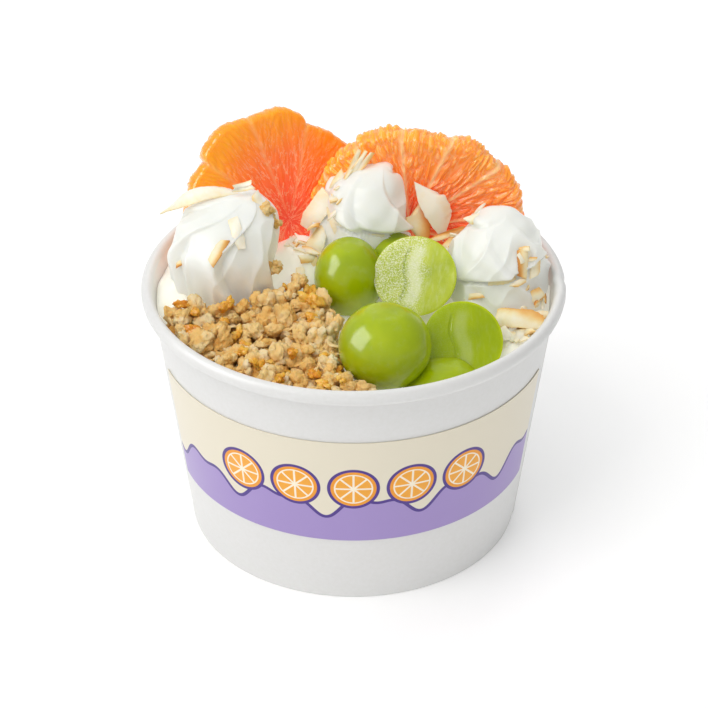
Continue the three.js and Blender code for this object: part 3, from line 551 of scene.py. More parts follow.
def grape_skin(settings):
    """Green grape skin: thin, glossy, over clear flesh, with a pale bloom in patches."""
    material, tree = blank("green_grape_skin")
    place = add(tree, "TexCoord", out="Object")
    drift = add(tree, "TexNoise", {"Vector": place, "Scale": 90, "Detail": 3, "Roughness": 0.55})
    dust = add(tree, "TexNoise", {"Vector": place, "Scale": 240, "Detail": 5, "Roughness": 0.65})
    dimples = add(tree, "TexNoise", {"Vector": place, "Scale": 700, "Detail": 2})
    colour = add(tree, "ValToRGB", [drift], stops=[
        (0.25, settings.grape_deep), (0.55, settings.grape), (0.8, settings.grape_pale),
    ])
    bloom = add(tree, "MapRange", {
        "Value": dust, "From Min": 0.5, "From Max": 0.75, "To Max": 0.1,
    }, **SOFT)
    surface(tree, {
        "Base Color": add(tree, "Mix", {FACTOR: bloom, UNDER: colour, OVER: "#DDE8B8"}, **COLOURS),
        "Roughness": add(tree, "Math", [bloom, 0.6, 0.16], operation="MULTIPLY_ADD"), "IOR": 1.36,
        "Subsurface Weight": 0.6, "Subsurface Radius": (0.8, 1.0, 0.06), "Subsurface Scale": 0.005,
        "Coat Weight": 0.55, "Coat Roughness": 0.2,
        "Normal": add(tree, "Bump", {"Height": dimples, "Distance": 0.00003, "Strength": 0.4}),
    })
    return material


def grape_flesh(name, settings, frost, roughness, main, deep):
    """Cut grape flesh: clear wet green with pale veins down its core, a seed groove beside them and a
    line of skin round it. Frosted flesh has fine pale crystals."""
    material, tree = blank(name)
    side, rise, share = (
        add(tree, "Attribute", out="Fac", attribute_name=key) for key in ("side", "rise", "share"))
    # Veins are drawn out along the rise, specks aren't.
    slow = add(tree, "Math", [rise, 0.3], operation="MULTIPLY")
    flat = add(tree, "CombineXYZ", [side, slow, 0.0])
    fine = add(tree, "CombineXYZ", [side, rise, 3.0])
    veins = add(tree, "TexNoise", {"Vector": flat, "Scale": 0.8, "Detail": 4, "Roughness": 0.6})
    speck = add(tree, "TexNoise", {"Vector": fine, "Scale": 2.6, "Detail": 4, "Roughness": 0.75})
    drift = add(tree, "TexNoise", {"Vector": fine, "Scale": 0.16, "Detail": 3})
    colour = add(tree, "ValToRGB", [drift], stops=[(0.3, deep), (0.7, main)])
    colour = layered(tree, colour, [(veins, 0.45, 0.8, 0.06 + 0.5 * frost, settings.flesh_pale)])
    # The core wanders a little to the sides as it rises.
    turn = add(tree, "Math", [rise, 0.55], operation="MULTIPLY")
    sine = add(tree, "Math", [turn], operation="SINE")
    middle = add(tree, "Math", [sine, 0.6, side], operation="MULTIPLY_ADD")
    core = add(tree, "Math", [middle], operation="ABSOLUTE")
    beside = add(tree, "Math", [middle, 2.7], operation="ADD")
    groove = add(tree, "Math", [beside], operation="ABSOLUTE")
    left = add(tree, "Math", [drift, 5.0, side], operation="MULTIPLY_ADD")
    # Two soft steps at a time make the core, the groove, the crystals and the line of skin.
    masks = {}
    for part, first, low, high, second, start, end in (
            ("core", core, 2.4, 0.8, share, 0.88, 0.6), ("groove", groove, 0.6, 0.1, share, 0.78, 0.6),
            ("crystals", speck, 0.47, 0.6, left, 7.0, 4.0), ("line", share, 0.93, 0.975, side, -4.0, 5.0)):
        across = add(tree, "MapRange", [first, low, high], **SOFT)
        along = add(tree, "MapRange", [second, start, end], **SOFT)
        masks[part] = add(tree, "Math", [across, along], operation="MULTIPLY")
    for part, amount, over in (
            ("core", 0.12 + 0.8 * frost, settings.flesh_pale), ("groove", 0.2 + 0.5 * frost, "#8AA01C"),
            ("crystals", 1.2 * frost, "#F7F9E2"), ("line", 0.7, settings.grape_pale)):
        factor = add(tree, "Math", [masks[part], amount], operation="MULTIPLY")
        colour = add(tree, "Mix", {FACTOR: factor, UNDER: colour, OVER: over}, **COLOURS)
    dent = add(tree, "Bump", {"Height": masks["groove"], "Distance": -0.0005, "Strength": 0.5})
    surface(tree, {
        "Base Color": colour, "Roughness": roughness, "IOR": 1.36,
        "Subsurface Weight": 0.6, "Subsurface Radius": (0.9, 1.0, 0.25), "Subsurface Scale": 0.004,
        "Coat Weight": 0.12, "Coat Roughness": 0.1,
        "Normal": add(tree, "Bump", {
            "Height": speck, "Distance": 0.00022, "Strength": frost, "Normal": dent,
        }),
    })
    return material


def citrus_flesh(name, tones, rough):
    """Peeled citrus: clear pulp sacs run outwards, red at the hub and orange outside, with pale
    membranes between the segments and fine pale fibres. It has a painted glow all over, standing in for light
    that comes through."""
    material, tree = blank(name)
    depth, wall, sac, across, reach = (
        add(tree, "Attribute", out="Fac", attribute_name=key)
        for key in ("depth", "wall", "sac", "across", "reach"))
    # Patterns are drawn out along the reach, as the sacs are.
    wide = add(tree, "Math", [across, 0.8], operation="MULTIPLY")
    long = add(tree, "Math", [reach, 0.16], operation="MULTIPLY")
    point = add(tree, "CombineXYZ", [wide, long, 0.0])
    streak = add(tree, "TexNoise", {"Vector": point, "Scale": 1.3, "Detail": 4, "Roughness": 0.65})
    fibre = add(tree, "TexNoise", {"Vector": point, "Scale": 0.8, "Detail": 5, "Roughness": 0.6})
    fibre = add(tree, "Math", [fibre, 0.5], operation="SUBTRACT")
    fibre = add(tree, "Math", [fibre], operation="ABSOLUTE")
    place = add(tree, "TexCoord", out="Object")
    drift = add(tree, "TexNoise", {"Vector": place, "Scale": 60, "Detail": 3})
    drift = add(tree, "Math", [drift, 0.36, -0.18], operation="MULTIPLY_ADD")
    depth = add(tree, "Math", [depth, drift], operation="ADD")
    colour = add(tree, "ValToRGB", [depth], stops=tones)
    colour = layered(tree, colour, [(streak, 0.5, 0.78, 0.08 + 0.3 * rough, "#FFBE7A")])
    # Fibres show near the hub of a smooth slice and all over a rough one.
    near = add(tree, "MapRange", [depth, 0.95 + 2 * rough, 0.2 + 2 * rough, 0.0, 0.42], **SOFT)
    thread = add(tree, "MapRange", [fibre, 0.02, 0.004], **SOFT)
    pale = add(tree, "Math", [thread, near], operation="MULTIPLY")
    colour = add(tree, "Mix", {FACTOR: pale, UNDER: colour, OVER: "#FFDDB0"}, **COLOURS)
    # Each sac carries painted light on its relief: a painted highlight on its crest and painted shade, deeper
    # red, down its sides. It is paler along its very edges.
    colour = layered(tree, colour, [
        (sac, 0.62, 0.9, 0.16 * rough, "#FFB870"), (sac, 0.42, 0.14, 0.1 + 0.26 * rough, "#E25A20"),
        (sac, 0.16, 0.0, 0.05 + 0.26 * rough, "#FFC488"),
    ])
    membrane = add(tree, "Math", [wall, 0.14 + 0.5 * rough], operation="MULTIPLY")
    colour = add(tree, "Mix", {FACTOR: membrane, UNDER: colour, OVER: "#FFD29C"}, **COLOURS)
    threads = add(tree, "Bump", {"Height": fibre, "Distance": 0.0004, "Strength": 0.2})
    surface(tree, {
        "Base Color": colour, "Roughness": 0.18, "IOR": 1.4,
        "Subsurface Weight": 0.5, "Subsurface Radius": (1.0, 0.35, 0.1), "Subsurface Scale": 0.002,
        # Painted glow all over the flesh, standing in for light that comes through the slice.
        "Emission Color": colour, "Emission Strength": 0.15 + 0.1 * rough,
        "Coat Weight": 0.6, "Coat Roughness": 0.08,
        "Normal": add(tree, "Bump", {
            "Height": streak, "Distance": 0.0007, "Strength": 0.15 + 0.6 * rough, "Normal": threads,
        }),
    })
    return material


def toasted_coconut():
    """Dried coconut shavings: ivory and faintly clear, browned at the edges by the oven."""
    material, tree = blank("toasted_coconut")
    place = add(tree, "TexCoord", out="Object")
    patch = add(tree, "TexNoise", {"Vector": place, "Scale": 260, "Detail": 3, "Roughness": 0.6})
    grain = add(tree, "TexNoise", {"Vector": place, "Scale": 1400, "Detail": 3})
    patch = add(tree, "Math", [patch, 0.5, -0.25], operation="MULTIPLY_ADD")
    toast = add(tree, "Attribute", out="Fac", attribute_name="toast")
    brown = add(tree, "Math", [toast, patch], operation="ADD")
    surface(tree, {
        "Base Color": add(tree, "ValToRGB", [brown], stops=[
            (0.05, "#FBF4E2"), (0.3, "#F9E4B6"), (0.55, "#F4C880"), (0.8, "#E9AA58"), (1.0, "#CC8840"),
        ]),
        "Roughness": 0.45, "IOR": 1.46,
        "Subsurface Weight": 0.3, "Subsurface Radius": (1.0, 0.75, 0.5), "Subsurface Scale": 0.0008,
        "Normal": add(tree, "Bump", {"Height": grain, "Distance": 0.0001, "Strength": 0.5}),
    })
    return material


def studio_white(settings):
    """Matt white studio board, lit so that it reads as plain white."""
    material, tree = blank("studio_white_board")
    place = add(tree, "TexCoord", out="Object")
    drift = add(tree, "TexNoise", {"Vector": place, "Scale": 3, "Detail": 2})
    surface(tree, {
        "Base Color": add(tree, "ValToRGB", [drift], stops=[(0.0, "#FAFAFA"), (1.0, "#FFFFFF")]),
        "Roughness": 0.9, "Specular IOR Level": 0.1,
        "Emission Color": (1, 1, 1, 1), "Emission Strength": settings.floor_glow,
    })
    return material


# Settings

def colour_of(name, description, default):
    return bpy.props.FloatVectorProperty(
        name=name, description=description, default=linear(default), subtype="COLOR", size=4, min=0, max=1)


class TubSettings(bpy.types.PropertyGroup):
    columns: bpy.props.IntProperty(name="Columns", description="Points round the tub", default=288, min=72)
    paper: colour_of("Paper", "Colour of the paperboard", "#E5E5E4")
    paper_shade: colour_of("Paper mottle", "Darker fibre mottle of the paperboard", "#E2E2E0")
    seam_step: bpy.props.FloatProperty(
        name="Seam step", description="How far the lapped paper stands out at the side seam",
        default=0.00035, unit="LENGTH")


class LabelSettings(bpy.types.PropertyGroup):
    cream: colour_of("Cream", "Upper field of the label", "#E9E1CC")
    lavender: colour_of("Lavender", "Lower field of the label", "#A48FCB")
    violet: colour_of("Violet", "Outlines on the label", "#46298A")
    orange: colour_of("Orange", "Fruit on the label", "#F39C12")
    thickness: bpy.props.FloatProperty(
        name="Thickness", description="Thickness of the label", default=0.00025, unit="LENGTH")


class DairySettings(bpy.types.PropertyGroup):
    cream: colour_of("Cream", "Colour of the whipped cream", "#E9EBE8")
    cream_shade: colour_of("Cream shade", "Deeper tone of the cream", "#E1E3DC")
    yogurt: colour_of("Yogurt", "Colour of the frozen yogurt", "#F1F1EA")
    yogurt_shade: colour_of("Yogurt shade", "Deeper tone of the yogurt", "#ECEADB")
    unevenness: bpy.props.FloatProperty(
        name="Unevenness", description="Height of the soft waves on the cream",
        default=0.00035, unit="LENGTH")


class FruitSettings(bpy.types.PropertyGroup):
    grape: colour_of("Grape", "Main colour of the grape skin", "#A9BC00")
    grape_deep: colour_of("Deep grape", "Deeper patches of the grape skin", "#98AE00")
    grape_pale: colour_of("Pale grape", "Paler patches of the grape skin", "#B9C80E")
    flesh: colour_of("Grape flesh", "Main colour of the cut grape", "#CFDA4E")
    flesh_deep: colour_of("Deep grape flesh", "Deeper patches of the cut grape", "#ABBD28")
    flesh_pale: colour_of("Pale grape flesh", "Veins and skin line of the cut grape", "#EEF3CA")
    relief: bpy.props.FloatProperty(
        name="Sac relief", description="Height of the juice sacs on the rougher slice",
        default=0.001, unit="LENGTH")


class GranolaSettings(bpy.types.PropertyGroup):
    clusters: bpy.props.IntProperty(
        name="Clusters", description="How many oat clusters lie on the heap", default=104)
    bits: bpy.props.IntProperty(
        name="Glazed bits", description="How many amber bits lie on the heap", default=34)
    flakes: bpy.props.IntProperty(
        name="Flakes", description="How many loose oat flakes lie on the heap", default=70)
    crumbs: bpy.props.IntProperty(
        name="Crumbs", description="How many small crumbs fill the gaps", default=240)
    smallest: bpy.props.FloatProperty(
        name="Smallest", description="Radius of the smallest crumb", default=0.0009, unit="LENGTH")
    largest: bpy.props.FloatProperty(
        name="Largest", description="Radius of the largest cluster", default=0.005, unit="LENGTH")


class CoconutSettings(bpy.types.PropertyGroup):
    flakes: bpy.props.IntProperty(
        name="Flakes", description="How many small coconut flakes lie about", default=110)
    thickness: bpy.props.FloatProperty(
        name="Thickness", description="Thickness of a shaving", default=0.0004, unit="LENGTH")


class StageSettings(bpy.types.PropertyGroup):
    distance: bpy.props.FloatProperty(
        name="Camera distance", description="From the camera to the tub's middle", default=0.7, unit="LENGTH")
    elevation: bpy.props.FloatProperty(
        name="Camera elevation", description="Camera height as an angle over the horizon",
        default=math.radians(33.8), subtype="ANGLE")
    lens: bpy.props.FloatProperty(name="Lens", description="Focal length on a 36 mm sensor", default=127.9)
    key_power: bpy.props.FloatProperty(
        name="Key light", description="Power of the soft light at upper left", default=3.8)
    sheen: bpy.props.FloatProperty(
        name="Mirrored light", description="Power of the panel that the fruit mirrors", default=10.0)
    world: bpy.props.FloatProperty(
        name="World light", description="Strength of the white surroundings", default=0.62)
    floor_glow: bpy.props.FloatProperty(
        name="Board glow", description="Light given by the white board", default=0.12)


# Pieces

class FROYO_OT_tub(bpy.types.Operator):
    """Builds the paper tub with its rolled rim, side seam and recessed base"""
    bl_idname = "froyo.tub"
    bl_label = "Paper Tub"

    def execute(self, context):
        settings = context.scene.froyo_tub
        material = coated_paperboard(settings)
        turn = np.radians(np.linspace(0, 360, settings.columns, endpoint=False))
        degrees = np.degrees(turn)
        bead_z, bead_r = CUP_HEIGHT - BEAD_HALF_HEIGHT, RIM_RADIUS - BEAD_HALF_WIDTH
        leg = FOOT_RADIUS - PAPER - CHANNEL_WIDTH
        lean = wall_outer(FOLD_HEIGHT) - FOOT_RADIUS
        profile = [(FOOT_RADIUS - 0.3, 0, 1), (FOOT_RADIUS + 0.02, 0.15, 1), (FOOT_RADIUS + 0.05, 0.4, 1)]
        profile += [(wall_outer(z), z, 1) for z in np.linspace(2, bead_z - 0.9, 24)]
        for angle in np.radians(np.linspace(-55, 180, 30)):
            lap = 0.7 if angle < 3 else 0.0
            across, up = BEAD_HALF_WIDTH * math.cos(angle), BEAD_HALF_HEIGHT * math.sin(angle)
            profile.append((bead_r + across, bead_z + up, lap))
        profile += [(wall_inner(z), z, 0) for z in np.linspace(bead_z - 2, CHANNEL_FLOOR, 24)]
        profile += [(leg, CHANNEL_FLOOR, 0), (leg + lean, FOLD_HEIGHT, 0)]
        profile += [(leg + lean - PAPER, FOLD_HEIGHT, 0), (leg - PAPER, 0, 0)]
        profile = np.array(profile)
        past = (degrees - SEAM_ANGLE) % 360
        lapped = settings.seam_step / MM * np.clip(past / 0.8, 0, 1) * (1 - past / SEAM_SPREAD)
        lap = np.where(past < SEAM_SPREAD, lapped, 0)
        radius = np.minimum(RIM_RADIUS, profile[None, :, 0] + lap[:, None] * profile[None, :, 2])
        # A shallow dent runs down the rim at the seam.
        near = np.exp(-((off_angle(degrees, SEAM_ANGLE + SEAM_SPREAD) / 1.6) ** 2))
        radius = radius - 0.35 * near[:, None] * (profile[None, :, 2] == 0.7)
        points = np.stack([
            radius * np.cos(turn)[:, None], radius * np.sin(turn)[:, None],
            np.broadcast_to(profile[None, :, 1], radius.shape),
        ], axis=-1)
        height = profile[None, :, 1]
        inner = (profile[None, :, 2] == 0) & (height > 60) & (height < CUP_HEIGHT - 1.6)
        # Painted reflection of the citrus slices on the inner face near the rim.
        citrus_reflection = np.zeros(radius.shape)
        for middle, spread, amount in CITRUS_REFLECTIONS:
            away = off_angle(degrees, middle)
            citrus_reflection += amount * np.exp(-((away / spread) ** 2))[:, None] * inner
        tub = make("tub_wall", points, grid_faces(len(turn), len(profile), wrap_rows=True),
                   material, {"citrus_reflection": citrus_reflection}, sharp=50)
        stands_for(tub, "tub_paper", "cup_wall")
        outer = wall_inner(SKIRT_FOOT) - GAP
        top = wall_inner(BASE_TOP) - GAP
        base = np.array([
            (0.01, BASE_TOP - PAPER), (top * 0.5, BASE_TOP - PAPER), (top - PAPER, BASE_TOP - PAPER),
            (outer - PAPER, SKIRT_FOOT), (outer, SKIRT_FOOT), (top, BASE_TOP - 0.6),
            (top - 0.25, BASE_TOP - 0.15), (top - 0.6, BASE_TOP), (0.01, BASE_TOP),
        ])
        points = np.stack([
            base[:, :1] * np.cos(turn)[None, :], base[:, :1] * np.sin(turn)[None, :],
            np.broadcast_to(base[:, 1:], (len(base), len(turn))),
        ], axis=-1)
        disc = make("tub_base", points, grid_faces(len(base), len(turn)), material,
                    {"citrus_reflection": np.zeros(points.shape[:2])}, sharp=50)
        stands_for(disc, "tub_paper", "cup_base")
        return {"FINISHED"}


class FROYO_OT_label(bpy.types.Operator):
    """Wraps the printed label round the front of the tub"""
    bl_idname = "froyo.label"
    bl_label = "Label"

    def execute(self, context):
        settings = context.scene.froyo_label
        degrees = np.linspace(-90 - LABEL_HALF_ANGLE, -90 + LABEL_HALF_ANGLE, 281)
        rise = np.linspace(LABEL_BOTTOM, LABEL_TOP, 29)
        loop = [(z, settings.thickness / MM) for z in rise] + [(z, 0.0) for z in rise[::-1]]
        loop = np.array(loop)
        radius = wall_outer(loop[:, 0]) + LABEL_GAP + loop[:, 1]
        turn = np.radians(degrees)[:, None]
        points = np.stack([
            radius * np.cos(turn), radius * np.sin(turn),
            np.broadcast_to(loop[:, 0], (len(degrees), len(loop))),
        ], axis=-1)
        across = np.radians(degrees + 90)[:, None] * wall_outer(0.5 * (LABEL_BOTTOM + LABEL_TOP)) + 0 * radius
        up = np.broadcast_to(loop[:, 0] - LABEL_BOTTOM, across.shape)
        faces = grid_faces(len(degrees), len(loop))
        ends = [np.arange(len(loop))[::-1], np.arange(len(loop)) + (len(degrees) - 1) * len(loop)]
        count = len(rise)
        caps = []
        for end in ends:
            caps += [
                (end[k], end[k + 1], end[2 * count - 2 - k], end[2 * count - 1 - k]) for k in range(count - 1)]
        label = make("front_label", points, np.concatenate([faces, np.array(caps)]),
                     printed_paper(settings), {"across": across, "up": up}, sharp=40)
        stands_for(label, "label_paper", "label")
        return {"FINISHED"}


class FROYO_OT_dairy(bpy.types.Operator):
    """Fills the tub with frozen yogurt and pipes the three cream swirls"""
    bl_idname = "froyo.dairy"
    bl_label = "Yogurt and Cream"

    def execute(self, context):
        settings = context.scene.froyo_dairy
        wave = settings.unevenness / MM
        # The last number is each one's painted glow.
        yogurt = dairy("frozen_yogurt", settings.yogurt, settings.yogurt_shade, 0.3, 0.25, 0.2)
        cream = dairy("whipped_cream", settings.cream, settings.cream_shade, 0.4, 0.2, 0.1)
        turn = np.radians(np.linspace(0, 360, RING_STEPS, endpoint=False))
        share = np.linspace(1, 0.002, 120)[:, None]
        reach = wall_inner(FILL_FRONT + 3) - GAP - 0.3
        x, y = share * reach * np.cos(turn), share * reach * np.sin(turn)
        z = fill_top(x, y)
        flat = np.stack([x, y, 0 * x], axis=-1)
        z = z + 1.1 * ripple(flat, 17, 3) + wave * ripple(flat, 6, 4) + drapes(x, y)
        z = np.minimum(z, CUP_HEIGHT + 3)
        widen = (wall_inner(z) - GAP - 0.1) / reach
        widen = 1 + (np.minimum(widen, (wall_inner(70) - 0.4) / reach) - 1) * share ** 3
        top = np.stack([x * widen, y * widen, z], axis=-1)
        low = []
        for level in (BASE_TOP + GAP, 30, 50):
            r = wall_inner(level) - GAP - 0.1
            low.append(np.stack([r * np.cos(turn), r * np.sin(turn), 0 * turn + level], axis=-1))
        middle = np.stack([0.01 * np.cos(turn), 0.01 * np.sin(turn), 0 * turn + BASE_TOP + GAP], axis=-1)
        points = np.concatenate([[middle], low, top])
        piece = make("frozen_yogurt", points, grid_faces(len(points), len(turn)), yogurt)
        stands_for(piece, "yogurt_food", "yogurt")
        for number, (name, swirl) in enumerate(SWIRLS.items()):
            degrees = np.linspace(0, 360, RING_STEPS, endpoint=False)[None, :]
            t = (1 - (1 - np.linspace(0, 1, 130)) ** 1.35)[:, None]
            points = swirl_points(swirl, degrees, t)
            away = points - np.array(swirl["base"]) - [0, 0, swirl["height"] * 0.4]
            away /= np.linalg.norm(away, axis=-1, keepdims=True)
            crease = np.clip(1 - np.abs(ripple(points * [1, 1, 0.7], 15, 30 + number)) * 1.6, 0, 1) ** 2
            fade = smooth((1 - t) / 0.25)
            lift = wave * ripple(points, 8, 10 + number) + 0.8 * (crease - 0.2) * fade
            points = points + away * lift[..., None]
            foot = points[:1] * [0, 0, 1] + np.array([*swirl["base"][:2], 0])
            points = np.concatenate([foot, points])
            piece = make(name + "_cream", points, grid_faces(*points.shape[:2]), cream)
            stands_for(piece, "cream_food", name)
        return {"FINISHED"}


class FROYO_OT_grapes(bpy.types.Operator):
    """Lays the whole and halved green grapes in the yogurt"""
    bl_idname = "froyo.grapes"
    bl_label = "Grapes"
    COLUMNS = 96
    DOME_ROWS = 34

    def execute(self, context):
        fruit = context.scene.froyo_fruit
        skin = grape_skin(fruit)
        flesh = {
            "grape_half_back": grape_flesh(
                "frosted_grape_flesh", fruit, 0.75, 0.3, fruit.flesh, fruit.flesh_deep),
            "grape_half_right": grape_flesh(
                "wet_grape_flesh", fruit, 0.03, 0.08, fruit.grape, fruit.grape_deep),
        }
        for name, grape in GRAPES.items():
            axes = (turned(math.radians(grape["turn"])) * np.array(grape["half"])).T
            if "cut" in grape:
                piece = self.half(name, grape, axes, skin)
                piece.data.materials.append(flesh[name])
                for face in piece.data.polygons:
                    face.material_index = int(min(face.vertices) >= self.DOME_ROWS * self.COLUMNS)
            else:
                points, faces = ball(64, self.COLUMNS)
                # The stem end is a little flattened.
                points = points * (1 - 0.05 * smooth((points[:, 2] - 0.9) / 0.1))[:, None]
                piece = make(name + "_fruit", points @ axes + grape["at"], faces, skin)
            stands_for(piece, "grape_food", name)
        return {"FINISHED"}

    def half(self, name, grape, axes, skin):
        """Half a grape: a dome that runs back from the rim of the cut, and the cut's face."""
        facing = np.array(Vector(grape["cut"]).normalized())
        up = np.array([0, 0, 1.0]) - facing * facing[2]
        up /= np.linalg.norm(up)
        right = np.cross(up, facing)
        around = np.linspace(0, 2 * math.pi, self.COLUMNS, endpoint=False)
        way = np.cos(around)[:, None] * right + np.sin(around)[:, None] * up
        back = np.linspace(0, math.pi / 2, self.DOME_ROWS)[:, None, None]
        aim = np.cos(back) * way - np.sin(back) * facing
        dome = aim / np.linalg.norm(aim @ np.linalg.inv(axes), axis=-1)[..., None]
        disc_share = np.linspace(0.995, 0.003, 40)[:, None, None]
        disc = dome[:1] * disc_share + facing * 0.35 * (1 - disc_share ** 6)
        shape = np.concatenate([dome[::-1], disc])
        local = shape.reshape(-1, 3)
        share = np.concatenate([np.ones(self.DOME_ROWS), disc_share[:, 0, 0]])[:, None]
        values = {"side": local @ right, "rise": local @ up, "share": share + np.zeros(self.COLUMNS)}
        faces = grid_faces(*shape.shape[:2])
        return make(name + "_fruit", local + grape["at"], faces, skin, values, sharp=40)


class FROYO_OT_citrus(bpy.types.Operator):
    """Stands the two peeled citrus slices at the back"""
    bl_idname = "froyo.citrus"
    bl_label = "Citrus Slices"

    def execute(self, context):
        settings = context.scene.froyo_fruit
        flesh = {
            "citrus_slice_left": citrus_flesh("smooth_citrus_flesh", [
                (0.1, "#E8422A"), (0.34, "#F85E2E"), (0.6, "#FF7A2C"), (0.82, "#FF8E1C"), (1.0, "#FFA210")], 0.1),
            "citrus_slice_right": citrus_flesh("rough_citrus_flesh", [
                (0.1, "#E23A26"), (0.32, "#F25A2A"), (0.52, "#FC8030"), (0.8, "#FF9630"), (1.0, "#FFAC2C")], 1.0),
        }
        for name, one in SLICES.items():
            points, values = slice_form(one, settings.relief / MM)
            piece = make(name + "_fruit", points, grid_faces(*points.shape[:2]), flesh[name], values)
            stands_for(piece, "citrus_food", name)
        return {"FINISHED"}


def slice_form(one, height):
    """A peeled slice's points, and the values that its flesh follows."""
    rough, steps, own = one["rough"], one["steps"], np.array(one["reach"])
    count, half = len(own), one["thickness"] / 2
    along = np.arange(count * steps) / steps
    number = np.floor(along).astype(int)
    part = along - number
    lobe = np.abs(np.sin(math.pi * part))
    # The outline dips between two segments to the shorter one's corner.
    before, after = np.minimum(own, np.roll(own, 1)), np.minimum(own, np.roll(own, -1))
    corner = np.where(part < 0.5, before[number], after[number]) - SLICE_NOTCH
    reach = corner + (own[number] - corner) * lobe ** 0.4
    bearing = np.radians(one["first"] + 360 * along / count)
    rows = [(s, -1) for s in np.linspace(0, SLICE_FACE, 96)]
    rows += [(SLICE_FACE + (1 - SLICE_FACE) * math.sin(a), -math.cos(a))
             for a in np.linspace(0.2, math.pi - 0.2, 12)]
    rows += [(s, 1) for s in np.linspace(SLICE_FACE, 0, 40)]
    share, side = np.array(rows)[:, :1], np.array(rows)[:, 1:]
    reach = reach + 0.35 * rim_unevenness(bearing, rough)
    # Length along the skin from the hub, over the edge and on down the back.
    spans = np.hypot(np.diff(share[:, 0]), np.diff(side[:, 0]) * half / own.mean())
    run = np.concatenate([[0], np.cumsum(spans)])[:, None] * reach
    turn = 2 * math.pi / count
    across = share * reach * (part - 0.5) * turn
    sac = sacs(across, run, number + 0 * run, one["seed"])
    relief = (sac - 0.5) * rough * height * smooth(share * 4)
    radius = share * reach + relief * np.clip((share - SLICE_FACE) / 0.05, 0, 1)
    off = radius * np.minimum(part, 1 - part) * turn
    wall = np.exp(-((off / (0.3 + 0.012 * radius)) ** 2)) * smooth(radius / 5)
    # Membranes stand out on a rough slice and are sunk on a smooth one. The hub is dished.
    bulge = (0.3 * rough - 0.28 * (1 - rough)) * wall - 0.8 * np.exp(-((radius / 4) ** 2))
    y = side * (half + bulge + relief)
    local = np.stack([radius * np.cos(bearing), y, radius * np.sin(bearing)], axis=-1)
    lean = -math.radians(one["lean"])
    tilt = np.array([[1, 0, 0], [0, math.cos(lean), -math.sin(lean)], [0, math.sin(lean), math.cos(lean)]])
    points = local @ (turned(-math.radians(one["turn"])) @ tilt).T + one["hub"]
    values = {
        "depth": share * (1 - 0.2 * np.cos(bearing)) + 0 * radius, "wall": wall, "sac": sac,
        "across": across + 20 * number, "reach": run,
    }
    return points, values


def rim_unevenness(bearing, rough):
    """Small bumps along a peeled slice's edge, between about -1 and 1."""
    return sum(math.sin(k) * np.sin(k * bearing + k * k) * (0.6 if k < 30 else 0.12 + rough * 0.16)
               for k in (7, 13, 23, 41, 67, 97))


def sacs(across, reach, number, seed):
    """Juice sacs as heights from 0 at their edges to 1: narrow cells, long outwards."""
    # Vector noise starts from the clock unless it is given a seed.
    noise.seed_set(seed)
    out = np.zeros(reach.shape)
    for index in np.ndindex(reach.shape):
        at = Vector((across[index] * 0.52, reach[index] * 0.15, 5.0 * number[index]))
        bend = noise.noise_vector(at * 0.6 + Vector((seed, seed, seed)))
        near = noise.voronoi(at + bend * 1.3 + Vector((seed, 0, 0)))[0]
        out[index] = min(1.0, (near[1] - near[0]) * 1.9)
    return out


def cluster_shape(seed, grains, rings, columns):
    """A baked oat cluster: rough grains stuck together. Gives its points, faces and tones."""
    points, faces = ball(rings, columns)
    draw = random.Random(seed)
    middles = []
    for _ in range(grains):
        way = Vector((draw.uniform(-1, 1), draw.uniform(-1, 1), draw.uniform(-0.8, 0.8))).normalized()
        middles.append((way * draw.uniform(0.35, 0.66), draw.uniform(0.28, 0.5), draw.uniform(-0.25, 0.25)))
    middles.append((Vector((0, 0, 0)), 0.45, 0.0))
    out, tones = [], []
    for p in points:
        way = Vector(p)
        reach, own = 0.3, 0.0
        for middle, radius, shade in middles:
            along = middle.dot(way)
            room = along * along - middle.length_squared + radius * radius
            if room > 0 and along + math.sqrt(room) > reach:
                reach, own = along + math.sqrt(room), shade
        lumps = noise.noise(way * 3 + Vector((seed, 0, 0)))
        crags = noise.noise(way * 8 + Vector((0, seed, 0)))
        reach *= 1 + 0.22 * lumps + 0.18 * crags
        reach += 0.09 * noise.noise(way * 17 + Vector((0, 0, seed)))
        out.append(way * reach)
        # Painted shade: the clefts between the grains are darker.
        tones.append(own + 0.9 * min(0.0, reach - 0.7))
    return np.array(out), faces, np.array(tones)


def flake_shape(seed):
    """A rolled oat flake: a thin oval with a bent middle and an uneven edge."""
    draw = random.Random(seed)
    columns = 22
    turn = np.linspace(0, 2 * math.pi, columns, endpoint=False)
    edge = 1 + 0.1 * np.sin(3 * turn + draw.uniform(0, 6)) + 0.06 * np.sin(7 * turn + draw.uniform(0, 6))
    rows = []
    for share, side in ((0.01, 1), (0.5, 1), (0.9, 0.8), (1.0, 0), (0.9, -0.8), (0.5, -1), (0.01, -1)):
        x, y = share * edge * np.cos(turn), 0.72 * share * edge * np.sin(turn)
        z = side * 0.13 + 0.28 * x * x - 0.2 * y * y + 0.05 * np.sin(5 * x)
        rows.append(np.stack([x, y, z], axis=-1))
    return np.concatenate(rows), grid_faces(len(rows), columns), np.zeros(columns * len(rows))


def turned_about(draw):
    """A random turn as a 3 by 3 matrix."""
    a, b, c = (draw.uniform(0, 2 * math.pi) for _ in range(3))
    axis = Vector((math.sin(a) * math.cos(b), math.sin(a) * math.sin(b), math.cos(a)))
    return np.array(Vector((0, 0, 1)).rotation_difference(axis).to_matrix()) @ turned(c)


def clear_of_fruit(point, radius):
    """Whether a granola piece stays out of the grapes and the left swirl."""
    for grape in GRAPES.values():
        away = (np.array(point) - grape["at"]) / (np.array(grape["half"]) + radius * 0.75)
        if np.dot(away, away) < 1:
            return False
    swirl = SWIRLS["swirl_left"]
    away = math.hypot(point[0] - swirl["base"][0], point[1] - swirl["base"][1])
    if away < swirl["radius"] * 0.93 + radius * 0.5:
        return False
    return math.hypot(point[0], point[1]) + radius < wall_inner(min(point[2], 71)) - 0.2


